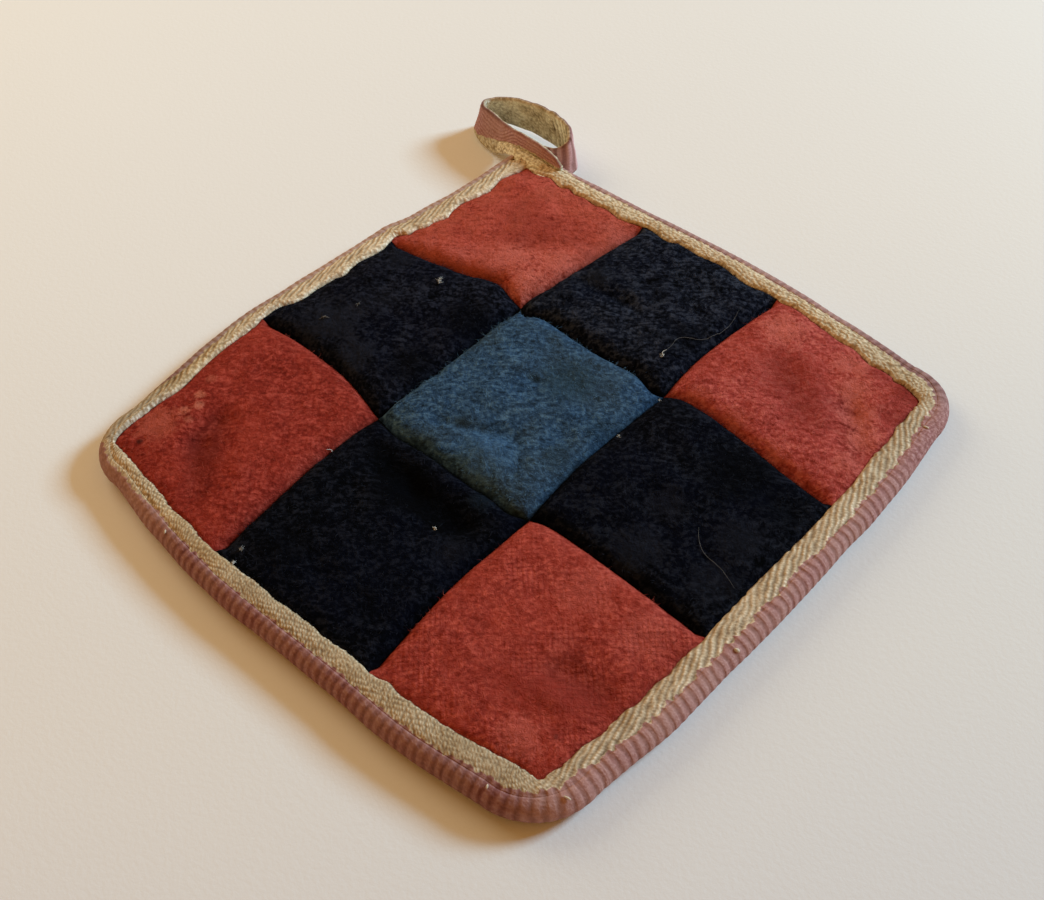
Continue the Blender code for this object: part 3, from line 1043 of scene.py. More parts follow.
@dataclass(frozen=True)
class TableTop:
    """Pale matt paint with painted light falloff: warmer behind the pot holder, greyer in front of it and
    darker to the right.
    """

    name: str = "pale_table"
    behind: Colour = (0.805, 0.80, 0.80)
    behind_right: Colour = (0.85, 0.80, 0.755)
    middle: Colour = (0.785, 0.77, 0.76)
    front: Colour = (0.715, 0.725, 0.77)

    def make(self) -> Material:
        """Writes the material.

        Returns:
            The material.
        """
        shade = Shade(self.name, roughness=0.6)
        place = shade.place()
        x, y, _ = shade.parts(place)
        cloud = shade.noise(place, 0.012, 3.0, 0.5)
        speck = shade.noise(place, 0.8, 3.0, 0.6)
        forward = (x - y) * DIAGONAL + (cloud - 0.5) * 40.0
        aside = ((x + y) * DIAGONAL).step(-160.0, 160.0)
        # Painted light: warmer behind, greyer in front and, below, darker towards the right.
        colour = shade.mix(aside, self.behind, self.behind_right)
        colour = shade.mix(forward.step(-95.0, 55.0), colour, self.middle)
        colour = shade.mix(forward.step(60.0, 190.0), colour, self.front)
        colour = shade.brighten(colour, 1.09 + cloud * 0.02 + speck * 0.02 - aside * 0.13)
        return shade.finish(colour, speck * 0.5 + cloud * 0.5, 0.12)


# ---- the quilted top


@dataclass(frozen=True)
class Fold:
    """A soft trough or ridge from one point to another: its spread to each side and its rise."""

    x0: float
    y0: float
    x1: float
    y1: float
    spread: float
    rise: float

    def at(self, x: Array, y: Array) -> Array:
        """How much it raises the cloth.

        Args:
            x: The points' x.
            y: Their y.

        Returns:
            Its rise at each point.
        """
        run_x, run_y = self.x1 - self.x0, self.y1 - self.y0
        share = ((x - self.x0) * run_x + (y - self.y0) * run_y) / (run_x**2 + run_y**2)
        share = np.clip(share, 0.0, 1.0)
        away = np.hypot(x - self.x0 - share * run_x, y - self.y0 - share * run_y)
        return self.rise * bell(away, self.spread)


class PatchWool(Enum):
    """The wool cloths of the nine patches, by where they lie."""

    RED_NEAR_LEFT = (0, 0)
    NAVY_NEAR = (1, 0)
    RED_NEAR_RIGHT = (2, 0)
    NAVY_LEFT = (0, 1)
    BLUE_CENTRE = (1, 1)
    NAVY_RIGHT = (2, 1)
    RED_FAR_LEFT = (0, 2)
    NAVY_FAR = (1, 2)
    RED_FAR_RIGHT = (2, 2)


@dataclass
class QuiltTop:
    """The nine wool patches, each a padded cell that crowns between its seams.

    Attributes:
        cells: Mesh cells across one patch.
        crowding: How much closer the cells lie near the seams.
        tucks: How far the patches reach under the tape, row by row.
        seam_height: Height of the channels' bottom.
        notch: How much deeper the stitched line itself is, and its half width.
        channel: How much the cloth sinks along a seam, and how far to each side.
        hollow: How much more it sinks where two seams cross, and how far round.
        tape_underside: Height of a patch where the tape covers it.
        cell_floor: Height of the flat bottom of a patch, on the back cloth.
        swells: Broad unevenness of the wool.
        lumps: How much of it the red wool has, and how much the others.
        grit: Fine unevenness.
        pucker: How much the cloth puckers along a seam, and how far to each side.
        crowns: Rise of each patch, from the near row to the far row and left to right.
        folds: The soft folds, the large ones first.
        tops: The mesh points of each patch's top, once it is built.
    """

    cells: int = 100
    crowding: float = 0.35
    tucks: tuple[float, ...] = (0.7, 1.6, 2.6)
    seam_height: float = 6.2
    notch: tuple[float, float] = (0.7, 0.8)
    channel: tuple[float, float] = (0.9, 2.1)
    hollow: tuple[float, float] = (1.0, 4.2)
    tape_underside: float = 5.9
    cell_floor: float = 1.45
    swells: Layers = ((0.42, 11.0, 3), (0.34, 5.5, 4))
    lumps: tuple[float, float] = (0.75, 1.15)
    grit: Layers = ((0.15, 2.8, 5), (0.09, 1.4, 6), (0.05, 0.8, 7))
    pucker: tuple[float, float] = (0.2, 3.5)
    crowns: tuple[tuple[float, ...], ...] = ((1.7, 2.1, 1.9), (2.0, 2.4, 2.1), (1.8, 2.0, 1.8))
    folds: tuple[Fold, ...] = tuple(
        Fold(*row)
        for row in (
            (-13, -33, 17, -35, 5, -1.3), (-16, -15, 5, -8, 4.5, -0.7), (-56, -52, -44, -66, 5, -0.9),
            (57, 53, 71, 43, 5, -0.8), (53, -43, 70, -52, 5, -0.8), (-57, 33, -32, 50, 6, 0.7),
            (-14, -15.5, -5, -11.4, 1.5, -0.8), (-4, -10.5, 3, -8, 2.2, -0.5), (3, -8, 11, -13, 2, -0.55),
            (11, -13, 15, -20, 2.2, -0.5), (1, -16, 9, -18, 4, 0.7), (-7, 9.4, -4.5, 9.8, 1.8, -0.8),
            (11, 2, 17, -4, 2.8, -0.65), (-8, 17, 2, 14, 4, -0.45), (-20, -31, -4, -35, 4, -1),
            (-4, -35, 11, -36, 4.5, -1.5), (11, -36, 19, -30, 3.5, -0.9), (-14, -41, -8, -40, 2, 0.35),
            (-23, 46, -3, 46.5, 1.8, -0.7), (-22, 51, -6, 51, 2.2, 0.35), (-20, 40.5, -5, 41, 2.2, 0.35),
            (8, 46, 17, 44, 2.2, -0.5), (-10, 58, 6, 64, 3.5, -0.4), (37, 54, 50, 45, 4.5, -0.75),
            (52, 66, 60, 53, 2.4, -0.6), (60, 53, 71, 41, 2.6, -0.8), (45, 57, 56, 47, 3, 0.35),
            (-54, 38, -32, 57, 5, -0.9), (-66, 28, -44, 33, 3.5, 0.4), (-44, 33, -30, 44, 3.5, 0.4),
            (-60, 52, -50, 62, 4, 0.3), (-58, -51, -56, -59, 2.5, -0.8), (-56, -59, -41, -71, 3.2, -0.8),
            (-66, -48, -62, -58, 3.5, 0.5), (-44, -52, -36, -62, 4, 0.35), (47, -54, 56, -49, 3, -0.6),
            (56, -49, 68, -47, 3, -0.9), (59, -62, 67, -60, 2, -0.4), (57, -56, 66, -54, 2.6, 0.5),
            (56, 19, 70, 18, 3.5, -0.7), (36, 6, 60, 2, 5, 0.4), (32, -10, 42, -14, 4, -0.4),
            (-66, -10, -52, -6, 4, 0.35), (-60, 6, -42, 12, 5, 0.3), (-40, -8, -34, -2, 3, -0.4),
            (-20, -62, -2, -66, 4, -0.5), (8, -50, 20, -56, 4, 0.35),
        )
    )
    tops: dict[PatchWool, Array] = field(default_factory=dict)

    def crown(self, column: Array, row: Array) -> Array:
        """Height of a patch over its seams.

        Args:
            column: Patches along X, from 0 to 3.
            row: Patches along Y.

        Returns:
            The height, from 0 on a seam to 1 over most of the patch.
        """
        shape = np.ones_like(column)
        for place in (column, row):
            across = 2 * (place - np.clip(place.astype(int), 0, 2)) - 1
            full = np.where(np.abs(place - 1.5) > 1.0, 0.42, 0.6)
            shape = shape * np.maximum(1 - np.abs(across) ** 4.0, 0.0) ** full
        return shape

    def height(
        self, column: Array, row: Array, x: Array, y: Array, patch: PatchWool
    ) -> tuple[Array, Array]:
        """Height of the wool at points of one patch.

        Args:
            column: Patches along X, from 0 to 3.
            row: Patches along Y.
            x: The points' x.
            y: Their y.
            patch: Which patch they belong to.

        Returns:
            Their height, and the share of painted shade at each, from 0 to 1, for troughs, seams and
            crossings.
        """
        red = patch.name.startswith("RED")
        edge = from_outside(column, row)
        tucked = np.clip(1 - edge * 9, 0.0, 1.0)
        shape = self.crown(column, row)
        bent = sum(fold.at(x, y) for fold in self.folds)
        rise = self.crowns[patch.value[1]][patch.value[0]] + bent
        rise = rise + self.lumps[0 if red else 1] * layered(x, y, self.swells)
        fine = layered(x, y, self.grit)
        past = PLAN.past_seams(x, y)
        groove, sunk = (
            np.max([bell(away, width) for away in past.values()], axis=0)
            for width in (self.notch[1], self.channel[1])
        )
        pucker = 0.0
        for name, along in (("left", y), ("right", y), ("near", x), ("far", x)):
            ripple = grain(along, 7.0 * len(name), 3.4, 8 + len(name))
            pucker = pucker + self.pucker[0] * ripple * bell(past[name], self.pucker[1])
        crossings = product(("left", "right"), ("near", "far"))
        nearest = np.min([np.hypot(past[side], past[end]) for side, end in crossings], axis=0)
        hollow = bell(nearest, self.hollow[1])
        base = self.seam_height + (self.tape_underside - self.seam_height) * tucked
        open_share = ease(0.0, 0.35, shape)
        sinking = self.notch[0] * groove + self.channel[0] * sunk + self.hollow[0] * hollow
        height = base + rise * shape + fine * (0.25 + 0.75 * open_share) + pucker * open_share
        # Painted shade: darker in fold troughs, weighted by patch, in the seam grooves and channels and where
        # seams cross.
        dark = 1.0 if patch is PatchWool.NAVY_NEAR else 0.7 if red else 0.5
        seam_painted_shade = (0.4 * groove + 0.1 * sunk if red else 0.6 * groove + 0.15 * sunk) + 0.45 * hollow**2
        painted_shade_share = dark * np.clip(-bent / 1.1, 0, 1) * shape + seam_painted_shade
        return height - sinking * ease(0.0, 0.06, edge), np.clip(painted_shade_share, 0.0, 1.0)

    def patch_grid(self, patch: PatchWool) -> tuple[Array, Array]:
        """The mesh points of one patch's top, its tucks under the tape included.

        Args:
            patch: Which patch.

        Returns:
            Rows by columns by three, and how deep in a trough each point lies.
        """
        even = np.linspace(0.0, 1.0, self.cells + 1)
        share = even - self.crowding * np.sin(2 * np.pi * even) / (2 * np.pi)
        tucks = np.array(self.tucks)
        axes = []
        for number in patch.value:
            place, under = number + share, np.zeros_like(share)
            if number == 0:
                place, under = np.r_[tucks * 0.0, place], np.r_[tucks[::-1], under]
            if number == 2:
                place, under = np.r_[place, tucks * 0.0 + 3.0], np.r_[under, tucks]
            axes.append((place, under))
        (columns, under_x), (rows, under_y) = axes
        columns, rows = np.meshgrid(columns, rows)
        under_x, under_y = np.meshgrid(under_x, under_y)
        inset = PLAN.field_inset(under_x, under_y)
        x, y = PLAN.square_point(columns, rows, inset, PLAN.field_radius)
        z, sunk = self.height(columns, rows, x, y, patch)
        z = np.where(np.maximum(under_x, under_y) > 0, self.tape_underside, z)
        return np.stack([x, y, z], axis=-1), sunk

    def build_patch(self, patch: PatchWool, material: Material) -> Piece:
        """One patch as a closed padded cell.

        Args:
            patch: Which patch.
            material: Its wool.

        Returns:
            The piece.
        """
        top, sunk = self.patch_grid(patch)
        self.tops[patch] = top
        rim = border(top)
        inward = unit(rim.mean(axis=0)[:2] - rim[:, :2], 0.2)
        draft = Draft()
        ring = border(draft.grid(top, {"sunk": sunk}))
        for height in (rim[:, 2] - 0.5, np.full(len(rim), self.cell_floor)):
            points = np.column_stack([rim[:, :2] + inward, height])
            # Painted shade: the walls get the full share.
            lower = draft.add_points(points, {"sunk": np.ones(len(rim))})
            draft.wall(ring, lower)
            ring = lower
        draft.add_faces(ring[None])
        piece = draft.make(f"patch_{patch.name.lower()}", material)
        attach(piece, BODY)
        return piece

    def level(self, place: tuple[float, float]) -> float:
        """Height of the wool at a place."""
        points = np.concatenate([top.reshape(-1, 3) for top in self.tops.values()])
        return float(points[np.argmin(((points[:, :2] - place) ** 2).sum(axis=1)), 2])

    def surface(self, patch: PatchWool, u: Array, v: Array) -> tuple[Array, Array]:
        """Points and normals on a patch's top.

        Args:
            patch: Which patch.
            u: Places along its mesh columns, from 0 to 1.
            v: Places along its mesh rows.

        Returns:
            The points and the unit normals, one a row.
        """
        grid = self.tops[patch]
        rows, columns = grid.shape[:2]
        a, b = u * (columns - 1.001), v * (rows - 1.001)
        i, j = a.astype(int), b.astype(int)
        a, b = (a - i)[:, None], (b - j)[:, None]
        corner, right, up = grid[j, i], grid[j, i + 1], grid[j + 1, i]
        near = corner * (1 - a) + right * a
        far = up * (1 - a) + grid[j + 1, i + 1] * a
        return near * (1 - b) + far * b, unit(np.cross(right - corner, up - corner))


# ---- fibres


def strands(
    draft: Draft, roots: Array, ways: Array, bends: Array, lengths: Array, widths: Array, shades: Array
) -> None:
    """Adds short tapered fibres to a draft, each of three sides and two lengths.

    Args:
        draft: Where they are added.
        roots: Where each starts.
        ways: Which way each starts, of length 1.
        bends: How each turns over its length.
        lengths: How long each is.
        widths: How thick each is at its root.
        shades: How light each is, from 0 to 1.
    """
    side = unit(np.cross(ways, UPRIGHT))
    other = np.cross(ways, side)
    long = lengths[:, None]
    middles = roots + ways * long * 0.5 + bends * long * 0.18
    tips = roots + ways * long * 0.85 + bends * long * 0.75
    points = [
        level + (side * math.cos(angle) + other * math.sin(angle)) * widths[:, None] * share * 0.5
        for level, share in ((roots, 1.0), (middles, 0.75))
        for angle in (0.0, THIRD_TURN, 2 * THIRD_TURN)
    ]
    corners = len(points) + 1
    shape = np.stack([*points, tips], axis=1).reshape(-1, 3)
    index = draft.add_points(shape, {"shade": np.repeat(shades, corners)}).reshape(-1, corners)
    for a, b in ((0, 1), (1, 2), (2, 0)):
        draft.add_faces(index[:, [a, b, b + 3, a + 3]])
        draft.add_faces(index[:, [a + 3, b + 3, 6]])
    draft.add_faces(index[:, [2, 1, 0]])


def curled(
    draw: np.random.Generator, turn: Array, curl: tuple[float, float], rise: tuple[float, float]
) -> Array:
    """Which way fibres bend, drawn at random: how far they turn to either side, and how far up."""
    bearing = turn + draw.choice([-1.0, 1.0], len(turn)) * draw.uniform(*curl, len(turn))
    return heading(bearing, draw.uniform(*rise, len(turn)))


@dataclass
class Nap:
    """The short loose fibres that stand from the wool.

    Attributes:
        over_field: Fibres on the open part of each patch.
        along_edges: Fibres along the edges of each patch.
        inner: Where the open part of a patch starts and ends, as shares of it.
        outer: Least and most distance from an edge of those along it, as shares.
        length: Shortest and longest fibre.
        width: Thickness at the root.
        tilt: Least and most angle at which a fibre stands, in radians.
        curl: Least and most that it turns to either side.
        droop: Least and most that it bends upwards.
    """

    over_field: int = 1500
    along_edges: int = 2200
    inner: tuple[float, float] = (0.06, 0.94)
    outer: tuple[float, float] = (0.008, 0.045)
    length: tuple[float, float] = (0.6, 1.9)
    width: float = 0.10
    tilt: tuple[float, float] = (0.12, 0.75)
    curl: tuple[float, float] = (0.8, 1.9)
    droop: tuple[float, float] = (-0.45, 0.1)

    def build(
        self, top: QuiltTop, name: str, patches: Sequence[PatchWool], material: Material, seed: int
    ) -> Piece:
        """The fibres of patches of one colour.

        Args:
            top: The quilted top they stand on.
            name: The piece's name.
            patches: The patches of that colour.
            material: The fibres' finish.
            seed: Which random fibres.

        Returns:
            The piece.
        """
        draft = Draft()
        edging = self.along_edges
        for number, patch in enumerate(patches):
            draw = np.random.default_rng(seed + number)
            u, v = draw.uniform(*self.inner, (2, self.over_field + edging))
            side = draw.integers(0, 4, edging)
            close = draw.uniform(*self.outer, edging)
            close = np.where(side % 2 == 0, close, 1 - close)
            u[:edging] = np.where(side < 2, close, u[:edging])
            v[:edging] = np.where(side >= 2, close, v[:edging])
            roots, normals = top.surface(patch, u, v)
            open_air = roots[:, 2] > top.tape_underside + 0.4
            roots, normals = roots[open_air], normals[open_air]
            count = len(roots)
            turn = draw.uniform(0, 2 * np.pi, count)
            tilt = draw.uniform(*self.tilt, count)[:, None]
            ways = unit(heading(turn, 0.0) * np.cos(tilt) + normals * np.sin(tilt))
            bends = curled(draw, turn, self.curl, self.droop)
            lengths = draw.uniform(*self.length, count) * draw.uniform(0.6, 1.0, count)
            widths = self.width * draw.uniform(0.7, 1.2, count)
            strands(draft, roots - normals * 0.1, ways, bends, lengths, widths, draw.uniform(0, 1, count))
        piece = draft.make(name, material)
        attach(piece, BODY)
        return piece


# ---- the binding tape


def tape_band(
    name: str, points: Array, notes: Notes, material: Material, ring: bool = False
) -> Piece:
    """Writes one band of the twill tape.

    Args:
        name: The piece's name.
        points: Rows along the tape by columns round its section by three.
        notes: Values at the points.
        material: The tape's finish.
        ring: Whether its end joins its start.

    Returns:
        The piece, which rides on the body.
    """
    piece = Draft().tube(points, notes, ring).make(name, material)
    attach(piece, BODY)
    return piece


@dataclass
class Binding:
    """The tape folded over the edge, in three bands: top margin, rim and underside margin.

    Attributes:
        rim: Half the height of the bound edge.
        thickness: The tape's own.
        dip: How far the top margin sinks towards its inner edge.
        under_reach: How far in the tape reaches on the underside.
        skin: How far the bare face lies inside the rim's full radius.
        cord_depth: Depth of the relief between the twill's cords.
        rib_depth: Depth of the relief between the pink ribs.
        steps: Distance between stations of the top margin, the rim and the underside margin.
        columns: Points across each of those, and across the rim's inner face.
        start: How far the tape's start runs straight on at the far left corner.
        open_edge: What counts as left of a band that has no inner edge.
        outline: Points to a side of the line on the rim and of the wool field's outline.
        reaches: Least and most that the top margin reaches in.
        swell: Unevenness of the top margin.
        ragged: Raggedness of the line where pink gives way to tan.
        tape: The weave.
    """

    rim: float = PLAN.rim
    thickness: float = 1.1
    dip: float = 0.25
    under_reach: float = 6.8
    skin: float = 0.15
    cord_depth: float = 0.28
    rib_depth: float = 0.16
    steps: tuple[float, float, float] = (0.27, 0.34, 0.55)
    columns: tuple[int, int, int, int] = (21, 26, 9, 6)
    start: float = 7.0
    open_edge: float = 12.0
    outline: tuple[int, int] = (1500, 1400)
    reaches: tuple[float, float] = (1.0, 14.0)
    swell: Layers = ((0.22, 6.0, 33), (0.12, 2.4, 34))
    ragged: Layers = ((0.25, 3.6, 31), (0.6, 1.0, 32))
    tape: Tape = field(default_factory=Tape)

    def path(self, step: float) -> tuple[Array, Array, Array]:
        """The line on top of the rim, all the way round from the far left corner.

        Args:
            step: Distance between stations.

        Returns:
            The stations, the inward direction at each, and the distance run to each.
        """
        line = spaced_evenly(PLAN.outline(even_inset(self.rim), self.outline[0], None), step)
        run = np.arange(len(line)) * (run_lengths(line)[-1] / (len(line) - 1))
        ahead = np.roll(line, -2, axis=0) - np.roll(line, 2, axis=0)
        ahead[:2], ahead[-2:] = line[2:4] - line[:2], line[-2:] - line[-4:-2]
        return line, leftward(unit(ahead)), run

    def reach(self, line: Array, inward: Array) -> Array:
        """How far the top margin reaches in from the rim line.

        Args:
            line: The stations.
            inward: The inward direction at each.

        Returns:
            The reach at each station.
        """
        edge = PLAN.outline(PLAN.field_inset(), self.outline[1], PLAN.field_radius)
        least, most = self.reaches
        ragged = 0.16 * grain(np.arange(len(line)) * self.steps[0], 0.0, 1.1, 39)
        reach = np.empty(len(line))
        for index, (point, way) in enumerate(zip(line, inward)):
            off = edge - point
            depth = off @ way
            aside = np.abs(off @ np.array([-way[1], way[0]]))
            aside[(depth < least) | (depth > most)] = np.inf
            reach[index] = depth[np.argmin(aside)]
        return reach + ragged

    def sides(self, line: Array) -> tuple[Array, Array, Array, Array]:
        """Tells the four sides apart.

        Args:
            line: The stations.

        Returns:
            How far each belongs to the left, right, far and near side, from 0 to 1.
        """
        x, y = line[:, 0], line[:, 1]
        past_corner = np.maximum(ease(-0.6, 0.6, x + y - 2.2), ease(-40.0, -30.0, x))
        left = ease(-66.0, -76.0, x) * ease(-74.0, -66.0, y) * (1 - past_corner)
        right = ease(66.0, 76.0, x) * ease(74.0, 66.0, y)
        far = ease(58.0, 66.0, y) * (1 - right) * past_corner
        return left, right, far, np.clip(1 - left - right - far, 0.0, 1.0)

    def weave(self, line: Array, run: Array, across: Array, left_in: Array) -> Notes:
        """The values that the tape's finish reads, and its relief.

        Args:
            line: The stations.
            run: Distance along the tape, rows by columns.
            across: Distance in from the rim's top line; negative down the outside.
            left_in: What is left of the tape, on to its inner edge.

        Returns:
            The notes weave and wear, rows by columns by three.
        """
        x, y = line[:, 0:1], line[:, 1:2]
        left, right, far, near = (values[:, None] for values in self.sides(line))
        bare = ease(-1.5, 1.5, y - x) * ease(-44.0, -62.0, y)
        fuzzy = near * ease(-44.0, -58.0, x)
        low_left = ease(-20.0, -45.0, y)

        # Where the pink gives way to the tan: the tooth is how far in on the top the pink reaches.
        ragged = layered(run, 0.0, self.ragged)
        tooth = 0.1 + 0.5 * np.abs(((run / self.tape.thread) % 1.0) - 0.5)
        tooth = tooth + 0.16 * np.cos(2 * np.pi * run / self.tape.rib)
        tooth = tooth + 0.8 * ease(50.0, 64.0, x) * np.maximum(ease(-54.0, -66.0, y), ease(52.0, 64.0, y))
        tooth = tooth - 3.4 * bare - 1.6 * fuzzy
        tooth = tooth + ragged * (0.6 + 0.5 * right) - (0.3 * left + 0.3 * far)
        tooth = tooth - 1.2 * far * ease(-50.0, -58.0, x)
        lower = -math.pi * self.rim - across - 0.3
        pink = np.clip(0.5 - np.maximum(across - tooth, lower) / 0.5, 0.0, 1.0)

        # The stitches' height.
        edge = ease(2.6, 1.0, left_in)
        knotted = np.clip(far + 0.9 * left * edge + 0.25 * near + 0.2 * grain(run, across, 8.0, 37), 0, 1)
        corded = np.clip(left * 1.2 + 0.85 * right + 0.25 * near, 0, 1)
        strength = 0.7 * left + right * (0.68 - 0.6 * ease(36.0, 58.0, y)) + 0.7 * far
        strength = strength + near * (0.6 - 0.45 * fuzzy)
        stitch = self.tape.twill(run, across, corded, knotted) * (1 - pink)
        stitch = stitch + self.tape.ribs(run, across, np.clip(strength, 0, 1)) * pink

        # Pale wear, tone, rust and faded pink, side by side.
        # The tan next to the pink is paler: partly rubbed wear and partly a painted highlight, strongest on
        # the lit right side.
        rubbed_edge_and_highlight = ease(1.9, 0.6, across) * (1 - pink) * stitch**2 * (0.9 * right + 0.3 * near + 0.1 * far)
        selvedge = ease(1.1, 0.2, left_in) * stitch
        golden = near * ease(-14.0, -24.0, x) * ease(-52.0, -42.0, x)
        golden = golden + 0.5 * near * ease(-54.0, -62.0, x)
        worn = 0.10 + left * (0.36 - 0.3 * low_left) + 0.56 * right + 0.26 * near + 0.24 * far + rubbed_edge_and_highlight
        worn = worn - 0.3 * left * low_left * (1 - bare)
        worn = worn + selvedge * (0.5 * left + 0.4 * near + 0.5 * far) - 0.3 * golden + 0.35 * bare
        middle = ease(-52.0, -40.0, y) * ease(44.0, 34.0, y)
        tone = (1.02 - 0.15 * pink) * near + (1.08 + 0.1 * middle * (1 - pink)) * right
        tone = tone + near * (0.16 * ease(-34.0, -46.0, x) - 0.10 * ease(40.0, 54.0, x)) * (1 - 0.4 * pink)
        tone = tone + left * (1.14 - 0.45 * pink + 0.2 * ease(-35.0, 10.0, y)) - 0.22 * bare
        tone = tone - 0.12 * near * pink * ease(-64.0, -74.0, x)
        tone = tone + far * (1.16 - 0.25 * pink - 0.17 * ease(35.0, 60.0, x) + 0.08 * ease(-20.0, -50.0, x))
        tone = tone + rubbed_edge_and_highlight * 0.35 + selvedge * (0.25 * left + 0.15 * near)
        rust = 0.12 * pink * near + (0.2 * golden - 0.15 * bare) * (1 - pink)
        faded = 0.05 + left * (0.75 - 0.4 * ease(-25.0, -50.0, y)) + far * (0.3 - 0.15 * ease(35.0, 60.0, x))
        faded = faded + right * (0.2 - 0.1 * ease(30.0, 50.0, y))
        faded = faded + near * (0.06 + 0.25 * ease(-34.0, -50.0, x))
        return {
            "weave": np.stack(np.broadcast_arrays(pink, stitch, worn), axis=-1),
            "wear": np.stack(np.broadcast_arrays(tone, rust, faded), axis=-1),
        }

    def relief(self, notes: Notes) -> Array:
        """Depth of the weave below the tape's face, for the mesh."""
        pink, stitch = notes["weave"][..., 0], notes["weave"][..., 1]
        return (1 - stitch) * (self.cord_depth * (1 - pink) + self.rib_depth * pink)

    def build_top(self, material: Material) -> Piece:
        """The tan margin that lies on the wool, from the far left corner round to it again.

        Args:
            material: The tape's finish.

        Returns:
            The piece.
        """
        line, inward, run = self.path(self.steps[0])
        reach = self.reach(line, inward)[:, None]
        first = int(self.start / self.steps[0])
        stretch = 1 - 0.3 * ease(self.start, 0.0, run[:first])[:, None]
        back = (line[first] - line[first + 1]) * np.arange(first, 0, -1)[:, None]
        line[:first] = line[first] + back * stretch
        inward[:first], reach[:first] = inward[first], reach[first]
        across = reach * (1 - np.linspace(0.0, 1.0, self.columns[0])[None, :])
        run_all = run[:, None] + 0 * across
        notes = self.weave(line, run_all, across, reach - across)
        swell = layered(run_all, across, self.swell)
        roll = ease(0.9, 0.0, reach - across)
        crown = np.sin(np.pi * np.clip(across / reach, 0, 1)) * 0.35
        tuck = 1.3 * ease(5.5, 1.5, run)[:, None]
        lift = 0.15 + crown + swell * (1 - roll) - self.dip * across / reach
        height = 2 * self.rim - self.skin + lift * ease(0.0, 1.2, across)
        top = beside(line, inward, across, height - self.relief(notes) - 0.55 * roll**2 - tuck)
        under = top[:, [-1, 0]]
        under[:, 0, 2] = 2 * self.rim - self.thickness
        under[:, 1, 2] = top[:, 0, 2] - 0.5
        under[:, 1, :2] -= inward * 0.15
        points = np.concatenate([top, under], axis=1)
        return tape_band("tape_top_margin", points, carried(notes, (-1, 0)), material)

    def build_rim(self, material: Material) -> Piece:
        """The pink rim of the tape, rounded over the pad's edge.

        Args:
            material: The tape's finish.

        Returns:
            The piece.
        """
        line, inward, run = (values[:-1] for values in self.path(self.steps[1]))
        angle = np.linspace(0.0, math.pi, self.columns[1])[None, :]
        across = -self.rim * angle + np.zeros((len(line), 1))
        run_all = run[:, None] + 0 * across
        notes = self.weave(line, run_all, across, across + self.open_edge)
        sink = self.relief(notes) * ease(math.pi, math.pi - 0.5, angle)
        swell = 0.25 * grain(run_all, 0.0, 9.0, 35) * np.sin(angle)
        radius = self.rim - self.skin - sink + swell
        radius = np.where(angle > 2.4, np.minimum(radius, self.rim), radius)
        outer = self._round(line, inward, angle, radius)
        inner_angle = np.linspace(math.pi, 0.0, self.columns[3])[None, :] + np.zeros((len(line), 1))
        inner = self._round(line, inward, inner_angle, self.rim - self.thickness + inner_angle * 0)
        points = np.concatenate([outer, inner], axis=1)
        return tape_band("tape_rim", points, carried(notes, range(self.columns[3])), material, ring=True)

    def _round(self, line: Array, inward: Array, angle: Array, radius: Array) -> Array:
        """Points round the rim at an angle from its top and a distance from its middle."""
        return beside(line, inward, -radius * np.sin(angle), self.rim + radius * np.cos(angle))

    def build_under(self, material: Material) -> Piece:
        """The tape's margin on the underside.

        Args:
            material: The tape's finish.

        Returns:
            The piece.
        """
        line, inward, run = (values[:-1] for values in self.path(self.steps[2]))
        width = self.under_reach - self.rim
        face = np.linspace(0.0, width, self.columns[2])[None, :]
        depth = face + 0.25 * grain(run, 0.0, 5.0, 36)[:, None] * (face / width)
        notes = self.weave(
            line, run[:, None] + 0 * depth, -math.pi * self.rim - depth, depth + self.open_edge
        )
        outer = beside(line, inward, depth, self.relief(notes) * ease(0.0, 0.5, depth))
        upper = outer[:, [-1, 0]]
        upper[..., 2] = self.thickness
        points = np.concatenate([outer, upper], axis=1)
        return tape_band("tape_under_margin", points, carried(notes, (-1, 0)), material, ring=True)

    def build(self, material: Material, ends: Sequence[Piece]) -> list[Piece]:
        """The three bands of the tape.

        Args:
            material: The tape's finish.
            ends: Further pieces of the same tape.

        Returns:
            The rim, then the other bands and the further pieces.
        """
        rim = self.build_rim(material)
        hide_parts("binding")
        margins = [self.build_top(material), self.build_under(material), *ends]
        size = (math.pi * self.rim * MM, float(self.path(2.0)[2][-1]) * MM)
        return [rim, *margins]


# ---- the hanging loop


